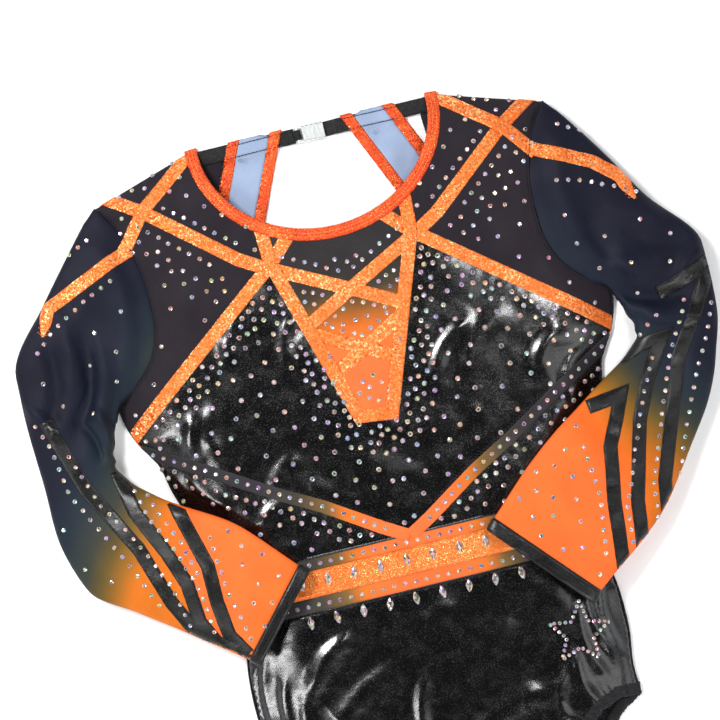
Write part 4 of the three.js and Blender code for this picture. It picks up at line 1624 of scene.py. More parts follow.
@dataclass
class Back:
    """The flat back: yokes, straps, lower panel, waistband, brief and closure."""

    step: float = 4.0

    @staticmethod
    def flat(level: float) -> Surface:
        """A surface at one height.

        Args:
            level: the height.

        Returns:
            A function from plan points to x, y, z.
        """
        return lambda xy: np.column_stack([xy, np.full(len(xy), level)])

    def build(self) -> None:
        """Builds every piece of the back."""
        self.build_panels()
        self.build_straps()
        self.build_legs()
        self.build_extras()

    def build_panels(self) -> None:
        """Cuts the back's cloth along its seams."""
        outline = body_outline(BACK_LEG)
        edge = [*BACK_TOP_EDGE, *[(-x, y) for x, y in reversed(BACK_TOP_EDGE[:-1])]]
        seams: list[Line] = [[(-x, y), (x, y)] for x, y in ((130, WAIST_TOP), (127, WAIST_BOTTOM))]
        seams.append([p for p in edge if abs(p[0]) < 170])
        seams += [[(74, BACK_TOP), (167.0, BACK_TOP)], [(-74, BACK_TOP), (-167.0, BACK_TOP)]]
        for side in Side:
            rim = [p for p in BACK_YOKE_EDGE[side.value] if p[1] < -1]
            seams.append(side.line(rim))
        net = Tessellation.over(outline, seams, self.step)
        middles = net.middles()
        x, y = middles[:, 0], middles[:, 1]
        top_edge = np.interp(np.abs(x), [0, 50, 74, 215], [-170, -165, -154, -154])
        names = np.full(len(middles), "none", dtype="<U20")
        for side in Side:
            rim = sorted((py, px) for px, py in BACK_YOKE_EDGE[side.value])
            edge_x = np.interp(y, [r[0] for r in rim], [r[1] for r in rim])
            strap = to_segments(middles, side.line(((35.1, 13), (112.4, -162))))[0]
            clear = strap > STRAP_CLOTH / 2 + STRAP_BINDING - 0.5
            chosen = (x * side.value > edge_x) & (y > BACK_TOP) & clear
            names[chosen] = f"back_yoke_{side.label}"
        names[y < top_edge] = "back_panel"
        names[y < WAIST_TOP] = "waistband_back"
        names[y < WAIST_BOTTOM] = "brief_back"
        top = CLOTH - 0.15 + 0.1 * Waves(20, 0.6, 5).lift(net.xy)
        finishes = {"back_yoke_left": (YOKE_MESH, "dark_mesh"), "back_yoke_right": (YOKE_MESH, "dark_mesh"),
                    "back_panel": (FOIL, "black_foil"), "waistband_back": (BAND_GLITTER, "orange_foil_band"),
                    "brief_back": (FOIL, "black_foil")}
        for name, (finish, slot) in finishes.items():
            chosen = names == name
            shape = slab(net.xy, net.tris[chosen], top, CLOTH_THICK)
            piece = dress(shape.build(f"cloth_{name}", finish.material()), "bodice", [name])
            wide, long, area = net.area(chosen)

    def build_straps(self) -> None:
        """Builds the two back straps, their bindings and the casing at the top."""
        threads, dark = Shape(), Shape()
        lean = math.hypot(70.5, 159.5) / 159.5
        for side in Side:
            strap = Ribbon(side.line(BACK_STRAP), STRAP_CLOTH + 1, 2.5)

            def surface(xy: np.ndarray) -> np.ndarray:
                """Lies on the table and climbs over the neck elastic."""
                over = ease((xy[:, 1] + 13.5) / 3.0) * ease((3.4 - xy[:, 1]) / 2.0)
                level = 0.9 + 2.5 * over + 0.15 * np.sin(xy[:, 0] * 0.4)
                return np.column_stack([xy[:, 0], np.minimum(xy[:, 1], 1.6), level])

            flat_crown = tuple((p, 0.25) for p in np.linspace(-0.5, 0.5, 13))
            piece = lay_tape(Shape(), strap, surface, 1.0, flat_crown, 0.02, 0.6)
            piece = dress(piece.build(f"cloth_back_strap_{side.label}", PALE.material()), "bodice",
                          [f"back_strap_{side.label}"])
            for edge, word in ((1, "outer"), (-1, "inner")):
                shift = edge * (STRAP_CLOTH + STRAP_BINDING + 0.6) / 2 * lean
                line = side.line([(x + shift, y) for x, y in BACK_STRAP])
                ribbon = Ribbon(line, STRAP_BINDING, 2.0)
                crown = ((-0.5, -0.2), (-0.46, 0.5), (-0.3, 0.75), (0, 0.8), (0.3, 0.75), (0.46, 0.5),
                         (0.5, -0.2))
                bound = lay_tape(Shape(), ribbon, surface, 1.0, crown, 0.06, 0.5)
                dress(bound.build(f"bound_strap_{word}_{side.label}", BINDING_FOIL.material()), "bodice",
                      [f"back_strap_binding_{word}_{side.label}"])
                zigzag(threads, ribbon, surface, -2.6, 2.6, 1.3, 0.18, 0.78)
                topstitch(threads, ribbon, surface, 2.9, 2.2, 0.2, 0.72)
            for offset in (-1.2, -9.4):
                x0, x1 = (19, 62) if side is Side.LEFT else (19, 64)
                row = Ribbon(side.line([(x0, offset), (x1, offset - 0.6)]), 2)
                topstitch(dark, row, surface, 0.0, 2.6, 0.3, 0.75)
        dress(threads.build("strap_stitching", ORANGE_THREAD.material()), "bodice")
        dress(dark.build("casing_stitching", BLACK_THREAD.material()), "bodice")

    def build_legs(self) -> None:
        """Gathers elastic round each leg opening."""
        for side in Side:
            front = polyline(side.line(FRONT_LEG), 1.3)
            back = polyline(side.line(BACK_LEG), 1.3)
            crown = ((-0.5, -0.5), (-0.46, 0.5), (-0.3, 0.9), (0.0, 1.05), (0.3, 0.9), (0.5, 0.5),
                     (0.56, -0.3))

            def gather(xy: np.ndarray, base: np.ndarray) -> np.ndarray:
                """Ruffles a height along the leg."""
                _, along = to_segments(xy, side.line(FRONT_LEG))
                return base + 0.32 * np.sin(along * 1.75 + np.sin(along * 0.3)) + 0.1 * np.sin(along * 4.1)

            upper = Ribbon([tuple(p) for p in front[::3]], LEG_ELASTIC_WIDE, 1.1)
            lower = Ribbon([tuple(p) for p in back[::3]], LEG_ELASTIC_WIDE, 1.1)
            shape = Shape()
            shift = -side.value * LEG_ELASTIC_WIDE / 2 * 0.9
            for ribbon, level in ((upper, RELIEF.top), (lower, lambda xy: np.full(len(xy), 1.45))):
                moved = Ribbon([tuple(p) for p in ribbon.at(ribbon.stations()[::3], shift)],
                               LEG_ELASTIC_WIDE, 1.1)

                def surface(xy: np.ndarray) -> np.ndarray:
                    """Follows the cloth, ruffled."""
                    return np.column_stack([xy, gather(xy, level(xy))])

                lay_tape(shape, moved, surface, 0.8, crown, 0.2, 0.6)
            dress(shape.build(f"gathered_leg_edge_{side.label}", ELASTIC.material()), "bodice",
                  [f"leg_elastic_{side.label}"])

    def build_extras(self) -> None:
        """Adds the crotch lining, the care label and the neck elastics."""
        for node, finish, slot, step in (("gusset_lining", LINING, "lining", 3.0),
                                         ("care_label", LABEL, "label", 2.0)):
            low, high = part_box(node)
            low, high = (np.array(p - ORIGIN) / MM for p in (low, high))
            outline = [(low[0], low[1]), (high[0], low[1]), (high[0], high[1]), (low[0], high[1])]
            net = Tessellation.over(outline, [], step)
            top = high[2] + 0.15 * Waves(12, 1.0, 4).lift(net.xy)
            piece = slab(net.xy, net.tris, top, 0.35).build(f"cloth_{node}", finish.material())
            dress(piece, "bodice", [node])
            wide, long, area = net.area(np.ones(len(net.tris), bool))
        self.build_elastics()

    def build_elastics(self) -> None:
        """Builds the two neck elastics, one looped on the clasp's bar, one slotted."""
        crown = ((-0.5, 0.0), (-0.47, 0.35), (-0.3, 0.45), (0, 0.4), (0.3, 0.45), (0.47, 0.35),
                 (0.5, 0.0))
        threads = Shape()
        for side, span in ((Side.RIGHT, ((-82, 0), (-13.2, 0))), (Side.LEFT, ((9.2, 0), (82, 0)))):
            line = [(x, ELASTIC_Y) for x, _ in span]
            ribbon = Ribbon(line, ELASTIC_WIDE, 1.4)

            def surface(xy: np.ndarray) -> np.ndarray:
                """Lies ribbed, and dips into the clasp."""
                ribs = 0.1 * np.sin(xy[:, 0] * 4.4)
                dip = 1.3 * ease((15 - xy[:, 0]) / 5) * (xy[:, 0] > 0)
                return np.column_stack([xy, 2.15 + ribs - dip])

            shape = lay_tape(Shape(), ribbon, surface, 1.0, crown, 0.04, 0.9)
            self.build_end(shape, threads, side)
            dress(shape.build(f"woven_neck_elastic_{side.label}", ELASTIC.material()), "bodice",
                  [f"neck_elastic_{side.label}"])
        dress(threads.build("elastic_bartacks", BLACK_THREAD.material()), "bodice")

    def build_end(self, shape: Shape, threads: Shape, side: Side) -> None:
        """Builds the clasp end of one elastic, with its bartack.

        Args:
            shape: the elastic's shape.
            threads: the bartack threads' shape.
            side: which elastic it is.
        """
        if side is Side.RIGHT:
            turns = np.linspace(-2.5, 2.5, 17)
            outer = np.column_stack([-11 + 2.7 * np.cos(turns), 2.4 + 2.3 * np.sin(turns)])
            inner = np.column_stack([-11 + 1.8 * np.cos(turns), 2.4 + 1.5 * np.sin(turns)])
            low, high = -8.4, -1.6
            rows = [np.array([(x0, low, z0), (x0, high, z0), (x1, high, z1), (x1, low, z1)])
                    for (x0, z0), (x1, z1) in zip(outer, inner)]
            shape.grid(np.array(rows))
            middle = -15.2
        else:
            for y0, y1 in ((-10.1, -8.8), (-1.2, 0.1)):
                bar = np.array([[(x, y0, 0.3), (x, y1, 0.3), (x, y1, 1.1), (x, y0, 1.1)]
                                for x in np.linspace(2.6, 10.4, 9)])
                shape.grid(bar)
            for x0, x1 in ((2.6, 4.2), (8.0, 10.4)):
                bar = np.array([[(x, y, 0.3), (x, y, 1.1), (x + (x1 - x0), y, 1.1), (x + (x1 - x0), y, 0.3)]
                                for x, y in ((x0, yy) for yy in np.linspace(-8.8, -1.2, 7))])
                shape.grid(bar)
            middle = 17.0
        rng = random.Random(7 + side.value)
        for row in range(3):
            x = middle + (row - 1) * 1.5
            ys = np.arange(ELASTIC_Y - 5.2, ELASTIC_Y + 5.4, 0.9)
            path = np.column_stack([x + 0.8 * (np.arange(len(ys)) % 2) + [rng.uniform(-.2, .2) for _ in ys],
                                    ys, np.full(len(ys), 3.0)])
            thread(threads, path, 0.3, 5)


# ---- Clasp -----------------------------------------------------------------------------------------


class Clasp:
    """The clear clasp that turns on its bar."""

    def build(self) -> bpy.types.Object:
        """Builds the clasp as one moulded piece.

        Returns:
            The clasp.
        """
        low, high = (np.array(p - ORIGIN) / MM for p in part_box("neck_clasp"))
        shape = Shape()
        y0, y1 = low[1], high[1]
        middle = (y0 + y1) / 2
        turns = np.linspace(0, 2 * np.pi, 17)[:-1]
        bar = np.array([[(-11 + np.cos(t), y, 2.4 + np.sin(t)) for t in turns]
                        for y in np.linspace(y0 + 0.1, y1 - 0.1, 9)])
        shape.grid(bar[:, ::-1])
        for y in (y0 + 0.95, y1 - 0.95):
            self.bar(shape, (-11.2, y - 0.9, 1.5), (-6.4, y + 0.9, 3.3), 0.3)
        self.bar(shape, (-7.2, y0, 1.5), (8.2, y1, 2.9), 0.5)
        for x in (-6.4, -3.0, 0.4, 3.8, 7.2):
            self.bar(shape, (x - 0.8, y0 + 0.3, 2.7), (x + 0.8, y1 - 0.3, 3.4), 0.3)
        for y in (y0 + 0.8, y1 - 0.8):
            self.bar(shape, (-7.0, y - 0.7, 2.7), (8.0, y + 0.7, 3.4), 0.3)
        self.bar(shape, (5.2, middle - 3, 0.45), (6.8, middle + 3, 1.6), 0.25)
        piece = shape.build("moulded_clasp", plastic_material(), smooth=False)
        bevel = piece.modifiers.new("soften", "BEVEL")
        bevel.width, bevel.segments, bevel.limit_method = 0.0001, 2, "ANGLE"
        return dress(piece, "clasp", ["neck_clasp"])

    @staticmethod
    def bar(shape: Shape, low: Sequence[float], high: Sequence[float], round_off: float) -> None:
        """Adds a block with rounded upright corners.

        Args:
            shape: where the block goes.
            low: its lowest corner.
            high: its highest corner.
            round_off: the corners' radius.
        """
        (x0, y0, z0), (x1, y1, z1) = low, high
        ring = []
        for cx, cy, start in ((x1, y1, 0), (x0, y1, 1), (x0, y0, 2), (x1, y0, 3)):
            for i in range(4):
                turn = (start + i / 3) * np.pi / 2
                mx = cx - round_off if cx == x1 else cx + round_off
                my = cy - round_off if cy == y1 else cy + round_off
                ring.append((mx + round_off * np.cos(turn), my + round_off * np.sin(turn)))
        inset = round_off * 0.5
        cx, cy = (x0 + x1) / 2, (y0 + y1) / 2
        keep_x, keep_y = (1 - inset / max(far - mid, 0.1) for far, mid in ((x1, cx), (y1, cy)))
        small = [(cx + (x - cx) * keep_x, cy + (y - cy) * keep_y) for x, y in ring]
        rows = [[(x, y, z0) for x, y in small], [(x, y, z0 + inset) for x, y in ring],
                [(x, y, z1 - inset) for x, y in ring], [(x, y, z1) for x, y in small]]
        shape.grid(np.array(rows)[:, ::-1])


# ---- Sleeves ---------------------------------------------------------------------------------------


@dataclass(frozen=True)
class Ring:
    """A cross-section: its two fold points in plan, the underside's heights and the loft."""

    outer: Point
    inner: Point
    low_outer: float
    low_inner: float
    high: float

    def row(self) -> list[float]:
        """The section as one row of numbers.

        Returns:
            The row.
        """
        return [*self.outer, *self.inner, self.low_outer, self.low_inner, self.high]


@dataclass(frozen=True)
class SleevePattern:
    """What one sleeve is made from, drawn on the left side."""

    rings: tuple[Ring, ...]
    cuff: Ring
    shoulder_tape: Line
    stripes: tuple[Line, ...]
    folds: tuple[Fold, ...]
    print_shift: float


SLEEVES = {
    Side.LEFT: SleevePattern(
        rings=(Ring((160.6, -22), (177.6, -161), 0, 0, 17), Ring((190, -60), (179.5, -172), 0, 0, 19),
               Ring((213, -102), (183, -181), 0, 0, 21), Ring((245, -144), (185.5, -190), 0, 0, 22),
               Ring((244.2, -190), (186, -196), 0, 0, 22), Ring((236, -222), (176, -207), 0, 1.5, 21),
               Ring((223.5, -252), (157.5, -219), 0.5, 10, 19),
               Ring((206, -277), (135, -233), 3, 19, 17), Ring((174, -319), (98, -259), 8, 21.5, 15),
               Ring((119, -361), (59, -295), 19.5, 21.5, 12.5)),
        cuff=Ring((112, -369), (52, -302), 19.2, 21.5, 12),
        shoulder_tape=((138, -50), (148, -55), (183, -72), (199.5, -86), (206, -104)),
        stripes=(((206, -172), (219, -168), (240, -160), (247, -157), (227, -190), (209, -218),
                  (194, -258), (180, -298), (176, -330)),
                 ((169, -209), (186, -203), (201, -202), (183, -229), (172, -253), (158, -307),
                  (154, -345)),
                 ((139, -236), (163, -233), (148, -266), (142, -303), (138, -350))),
        folds=(Fold((161, -58), (168, -134), 8, 3.0), Fold((182, -146), (216, -150), 7, 4.2),
               Fold((184, -166), (222, -176), 7, -4.6), Fold((190, -181), (228, -192), 6, 3.0),
               Fold((186, -106), (220, -122), 11, 1.8), Fold((246, -146), (224, -160), 5, 3.4),
               Fold((196, -128), (232, -140), 7, -1.9), Fold((170, -112), (180, -140), 6, -2.4),
               Fold((150, -244), (178, -262), 9, 1.0), Fold((128, -262), (158, -292), 12, 1.3),
               Fold((96, -288), (128, -318), 12, 1.0), Fold((226, -206), (214, -246), 6, 1.2)),
        print_shift=-0.09),
    Side.RIGHT: SleevePattern(
        rings=(Ring((160.6, -22), (177.6, -161), 0, 0, 17), Ring((186, -47.5), (180, -170), 0, 0, 19),
               Ring((212, -82), (184.5, -182), 0, 0, 21), Ring((241, -124), (187, -192), 0, 0, 22),
               Ring((239.5, -206), (187.5, -201), 0, 0, 22), Ring((238, -240), (181, -212), 0, 1, 21),
               Ring((226, -281), (166, -225), 0, 8, 19), Ring((197, -302), (146, -238), 2, 17, 17),
               Ring((168.5, -322), (119, -254), 7, 21.5, 15),
               Ring((128, -350.5), (79.5, -295), 19.2, 21.5, 12.5)),
        cuff=Ring((121, -356), (73, -301), 19.2, 21.5, 12),
        shoulder_tape=((142, -56), (156, -61), (207, -83), (215, -101)),
        stripes=(((226, -158), (223, -170), (210, -211), (184, -259), (171, -300), (160, -323),
                  (143, -337), (132, -344)),
                 ((187, -203), (181, -233), (166, -265), (157, -290), (155, -317), (143, -342)),
                 ((153, -232), (146, -259), (140, -281), (140, -307), (137, -331), (124, -352))),
        folds=(Fold((158, -62), (163, -132), 8, 3.2), Fold((198, -104), (214, -168), 7, 3.4),
               Fold((186, -110), (206, -168), 6, -3.6), Fold((176, -116), (196, -176), 7, 3.0),
               Fold((212, -112), (226, -164), 5, -2.6), Fold((190, -160), (186, -182), 5, 3.4),
               Fold((200, -168), (196, -192), 4, -3.2), Fold((238, -146), (222, -170), 5, 2.6),
               Fold((206, -68), (190, -92), 7, -1.4), Fold((180, -84), (204, -92), 8, 1.6),
               Fold((214, -230), (204, -262), 8, 1.2), Fold((160, -266), (136, -286), 12, 1.2)),
        print_shift=0.0),
}


@dataclass
class Sleeve:
    """One sleeve with its cuff, stripes and shoulder tape."""

    side: Side
    sides: int = 72
    step: float = 3.2
    skin: BVHTree | None = None

    def __post_init__(self) -> None:
        """Looks up the pattern and the joint."""
        self.pattern = SLEEVES[self.side]
        self.bodies = ("bodice", f"{self.side.label}_forearm")
        joint = next(j for j in frame["joints"] if j["name"] == f"{self.side.label}_sleeve_fold")
        axis = Vector(joint["axis"])
        away = axis.cross(Vector((0, 0, 1)))
        away = away if away.y < 0 else -away
        middle = Vector(joint["pos_m"])
        self.bend = (middle - 0.030 * away, middle + 0.030 * away)

    def build(self) -> list[bpy.types.Object]:
        """Builds the sleeve's pieces.

        Returns:
            The pieces that stones can sit on.
        """
        return [self.build_tube(), self.build_shoulder_tape(), *self.build_stripes(),
                self.build_cuff()]

    def crossing(self, piece: bpy.types.Object, slot: str, nodes: Sequence[str] = ()) -> bpy.types.Object:
        """Bakes the placement of a piece that crosses the elbow into its mesh, and hides the frame's nodes it
        stands for.

        Args:
            piece: the piece.
            slot: not used.
            nodes: the frame's nodes it stands for.

        Returns:
            The piece.
        """
        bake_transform(piece)
        if nodes:
            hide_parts(*nodes)
        return piece

    def sections(self, rings: Sequence[Ring], count: int) -> np.ndarray:
        """Runs smooth sections through a few.

        Args:
            rings: the sections to pass through.
            count: how many to make.

        Returns:
            One row of numbers a section.
        """
        rows = np.array([ring.row() for ring in rings])
        middles = (rows[:, 0:2] + rows[:, 2:4]) / 2
        run = np.concatenate([[0], np.cumsum(np.linalg.norm(np.diff(middles, axis=0), axis=1))])
        return smooth_table(run, rows, np.linspace(0, run[-1], count), calm=True)

    def loop(self, row: np.ndarray, grow: float, near_armhole: float = 0.0) -> np.ndarray:
        """The points round one section.

        Args:
            row: the section.
            grow: how far outside the cloth's surface the points are.
            near_armhole: how far the section follows the armhole's curve.

        Returns:
            x, y, z rows on the left side.
        """
        outer, inner, (low_outer, low_inner, high) = row[0:2], row[2:4], row[4:7]
        turns = (np.arange(self.sides) + 0.5) / self.sides * 2 * np.pi
        wide = np.sign(np.cos(turns)) * np.abs(np.cos(turns)) ** 0.72
        tall = np.sign(np.sin(turns)) * np.abs(np.sin(turns)) ** 0.66
        half = float(np.linalg.norm(outer - inner)) / 2
        t = (1 + wide * (half + grow) / half) / 2
        xy = inner + (outer - inner) * t[:, None]
        if near_armhole > 0:
            hole = np.array(ARMHOLE)[::-1] + [0.4, 0]
            places = np.clip(t, 0, 1) * (len(hole) - 1)
            curve = np.stack([np.interp(places, np.arange(len(hole)), hole[:, i]) for i in (0, 1)], 1)
            xy = xy + (curve - xy) * near_armhole
        share = np.clip(t, 0, 1)
        low = low_inner + (low_outer - low_inner) * share + 0.35
        z = low + (high - 0.35) / 2 + tall * ((high - 0.35) / 2 + grow)
        upper = ease(tall * 1.5) * (0.25 + 0.75 * ease((1 - np.abs(wide)) * 5))
        lift = SLEEVE_GAIN * sum(fold.lift(xy) for fold in self.pattern.folds)
        lift = lift + Waves(30, 0.7, 11).lift(xy)
        lift = lift - 2.2 * near_armhole**3
        z = z + lift * upper
        return np.column_stack([xy, np.maximum(z, 0.2 - grow)])

    def mirrored(self, rows: np.ndarray) -> np.ndarray:
        """Puts rows of points on this side, with their faces still outward.

        Args:
            rows: rows of points on the left side.

        Returns:
            The rows on this side.
        """
        if self.side is Side.LEFT:
            return rows
        return (rows * np.array([-1, 1, 1]))[:, ::-1]

    def tints(self, points: np.ndarray) -> np.ndarray:
        """The sleeve's printed colours.

        Args:
            points: x, y, z rows on either side.

        Returns:
            One colour a point.
        """
        x, y = np.abs(points[:, 0]), points[:, 1]
        wander = 0.03 * np.sin(x * 0.07 + 1) * np.sin(y * 0.06)
        run = 0.3 - 0.00624 * (x - 222) - 0.0042 * (y + 216) + self.pattern.print_shift + wander
        plan = np.column_stack([x, y])
        outer, inner = (to_segments(plan, self.pattern.stripes[i])[0] for i in (0, 2))
        most = 1.02 - 0.22 * ease((inner / (inner + outer + 0.01) - 0.25) / 0.5)
        return SLEEVE_RUN.at(np.minimum(run, most))

    def build_tube(self) -> bpy.types.Object:
        """Builds the sleeve from the armhole to the cuff as one cloth tube.

        Returns:
            The sleeve.
        """
        rows = self.sections(self.pattern.rings, 112)
        follow = 1 - ease(np.arange(len(rows)) / 16)
        skin = np.array([self.loop(row, 0.0, f) for row, f in zip(rows, follow)])
        lining = np.array([self.loop(row, -0.9, f) for row, f in zip(rows, follow)])
        number = np.arange(len(rows))[:, None, None]
        outward = np.sign(skin[:, :, :1] - skin[:, :, :1].mean(1, keepdims=True))
        skin[:, :, :2] += 0.5 * np.sin(number * 0.37) * outward * (number > 6)
        shell = np.concatenate([skin, lining[::-1]])
        shell = self.mirrored(shell)
        tints = self.tints(shell.reshape(-1, 3)).reshape(shell.shape)
        shape = Shape()
        high, wide = shell.shape[:2]
        faces = [(r * wide + c, r * wide + (c + 1) % wide, (r + 1) * wide + (c + 1) % wide,
                  (r + 1) * wide + c) for r in range(high - 1) for c in range(wide)]
        faces += [((high - 1) * wide + c, (high - 1) * wide + (c + 1) % wide, (c + 1) % wide, c)
                  for c in range(wide)]
        shape.add(shell.reshape(-1, 3), faces, tints.reshape(-1, 3))
        piece = shape.build(f"cloth_sleeve_{self.side.label}", SLEEVE.material())
        label = self.side.label
        self.crossing(piece, "sleeve_print", [f"sleeve_upper_{label}", f"sleeve_forearm_{label}"])
        self.skin = BVHTree.FromPolygons((skin * [self.side.value, 1, 1]).reshape(-1, 3).tolist(),
                                         [(r * wide + c, r * wide + (c + 1) % wide,
                                           (r + 1) * wide + (c + 1) % wide, (r + 1) * wide + c)
                                          for r in range(len(skin) - 1) for c in range(wide)])
        return piece

    def on_skin(self, xy: np.ndarray, lift: float = 0.12) -> np.ndarray:
        """Drops plan points onto the sleeve.

        Args:
            xy: plan points.
            lift: how far over the cloth they stay.

        Returns:
            x, y, z rows.
        """
        rows = []
        for x, y in xy:
            spot, normal, *_ = self.skin.ray_cast(Vector((x, y, 90)), Vector((0, 0, -1)))
            if spot is None:
                spot, normal = self.round_the_edge(Vector((x, y, 12)))
            elif normal.z < 0:
                normal = -normal
            rows.append(tuple(spot + normal * lift))
        return np.array(rows)

    def round_the_edge(self, past: Vector) -> tuple[Vector, Vector]:
        """Finds where a band that runs past the sleeve's outline lies on its side.

        Args:
            past: the point that missed the sleeve.

        Returns:
            The place on the cloth and the direction out of it.
        """
        edge, *_ = self.skin.find_nearest(past)
        out = Vector((past.x - edge.x, past.y - edge.y, 0))
        low = Vector((edge.x, edge.y, max(edge.z - out.length, 2.0)))
        spot, *_ = self.skin.find_nearest(low + out)
        return spot, out.normalized() if out.length > 1e-6 else Vector((0, 0, 1))

    def build_stripes(self) -> list[bpy.types.Object]:
        """Sews on the three foil stripes.

        Returns:
            The stripes.
        """
        pieces = []
        crown = ((-0.5, 0.0), (-0.46, 0.3), (-0.3, 0.38), (-0.1, 0.36), (0.1, 0.36), (0.3, 0.38),
                 (0.46, 0.3), (0.5, 0.0))
        threads = Shape()
        for number, stripe in enumerate(self.pattern.stripes, 1):
            ribbon = Ribbon(self.side.line(stripe), FOIL_STRIPE_WIDE, 2.2)
            shape = lay_tape(Shape(), ribbon, self.on_skin, 1.0, crown, 0.05, 0.35)
            piece = shape.build(f"sewn_stripe_{self.side.label}_{number}", FOIL_STRIPE.material())
            node = f"sleeve_stripe_{self.side.label}_{number}"
            pieces.append(self.crossing(piece, "black_foil_stripe", [node]))
            for offset in (-4.2, 4.2):
                zigzag(threads, ribbon, self.on_skin, offset - 0.7, offset + 0.7, 1.3, 0.16, 0.36)
        self.crossing(threads.build(f"stripe_stitching_{self.side.label}", BLACK_THREAD.material()),
                      "black_foil_stripe")
        return pieces

    def build_shoulder_tape(self) -> bpy.types.Object:
        """Sews on the glitter tape that runs over the shoulder.

        Returns:
            The tape.
        """
        ribbon = Ribbon(self.side.line(self.pattern.shoulder_tape), TAPE_WIDE, 2.0)

        def surface(xy: np.ndarray) -> np.ndarray:
            """Follows the sleeve, and the yoke where it is higher."""
            points = self.on_skin(xy, 0.1)
            on_yoke = xy[:, 0] * self.side.value < 150
            yoke = RELIEF.top(xy)
            level = np.where(on_yoke & (np.abs(points[:, 2] - yoke) < 6),
                             np.maximum(points[:, 2], yoke + 0.05), points[:, 2])
            return np.column_stack([points[:, :2], level])

        shape = lay_tape(Shape(), ribbon, surface, 1.0, taper=14.0)
        piece = shape.build(f"sewn_sleeve_tape_{self.side.label}", TAPE_GLITTER.material())
        self.crossing(piece, "orange_tape", [f"sleeve_shoulder_tape_{self.side.label}"])
        threads = Shape()
        for low, high in ((4.2, 0.7), (-4.2, -0.7)):
            zigzag(threads, ribbon, surface, low, high, 1.5, 0.17, 0.47)
        self.crossing(threads.build(f"sleeve_tape_stitching_{self.side.label}", ORANGE_THREAD.material()),
                      "orange_tape")
        return piece

    def build_cuff(self) -> bpy.types.Object:
        """Binds the end of the sleeve, with two rows of stitches.

        Returns:
            The cuff.
        """
        last, end = self.pattern.rings[-1], self.pattern.cuff
        rows = self.sections([last, end], 9)
        outer = np.array([self.loop(row, grow) for row, grow in
                          zip(rows, (0.1, 0.75, 1.0, 0.85, 1.0, 0.85, 1.0, 0.8, 0.2))])
        inner = np.array([self.loop(row, -1.1) for row in rows[::-1]])
        shell = self.mirrored(np.concatenate([outer, inner]))
        high, wide = shell.shape[:2]
        faces = [(r * wide + c, r * wide + (c + 1) % wide, (r + 1) % high * wide + (c + 1) % wide,
                  (r + 1) % high * wide + c) for r in range(high) for c in range(wide)]
        piece = Shape().add(shell.reshape(-1, 3), faces)
        piece = piece.build(f"bound_cuff_{self.side.label}", FOIL_STRIPE.material())
        dress(piece, self.bodies[1], [f"cuff_binding_{self.side.label}"])
        threads = Shape()
        flip = np.array([self.side.value, 1, 1])
        for place in (0.34, 0.62):
            row = rows[0] + (rows[-1] - rows[0]) * place
            ring = self.loop(row, 1.0) * flip
            ring = np.concatenate([ring, ring[:2]])
            run = np.concatenate([[0], np.cumsum(np.linalg.norm(np.diff(ring, axis=0), axis=1))])
            for start in np.arange(0, run[-1] - 2.4, 2.4):
                places = start + np.linspace(0, 1.9, 4)
                path = np.stack([np.interp(places, run, ring[:, i]) for i in range(3)], 1)
                middle = ring.mean(0)
                away = path - middle
                away /= np.linalg.norm(away, axis=1)[:, None]
                thread(threads, path + away * np.array([[-0.1], [0.25], [0.25], [-0.1]]), 0.2, 5)
        dress(threads.build(f"cuff_stitching_{self.side.label}", BLACK_THREAD.material()),
              self.bodies[1])
        return piece


# ---- Stones ----------------------------------------------------------------------------------------


class Drop:
    """Finds the top of a set of finished pieces."""

    def __init__(self, pieces: Iterable[bpy.types.Object]) -> None:
        """Gathers the pieces' faces.

        Args:
            pieces: the pieces.
        """
        verts, faces = [], []
        for piece in pieces:
            base = len(verts)
            verts += [piece.matrix_world @ v.co for v in piece.data.vertices]
            faces += [tuple(base + i for i in p.vertices) for p in piece.data.polygons]
        self.tree = BVHTree.FromPolygons(verts, faces)

    def at(self, x: float, y: float) -> tuple[Vector, Vector] | None:
        """Drops a plan point.

        Args:
            x: millimetres across.
            y: millimetres along.

        Returns:
            The place in plan millimetres and the direction it faces, if anything is below.
        """
        start = Vector((x * MM, y * MM, 0.12)) + ORIGIN
        spot, normal, *_ = self.tree.ray_cast(start, Vector((0, 0, -1)))
        if spot is None:
            return None
        return (spot - ORIGIN) / MM, normal if normal.z > 0 else -normal


FILM = tuple(tone(code) for code in ("f4ece0", "f2a88c", "a9bdf0", "c58ae0", "8fe0cc", "f6d878",
                                     "f0848f", "7fb0ee", "ffe6c0", "e0c8d0", "a878d0", "9fcf6a",
                                     "e89a6a", "6a5a78"))


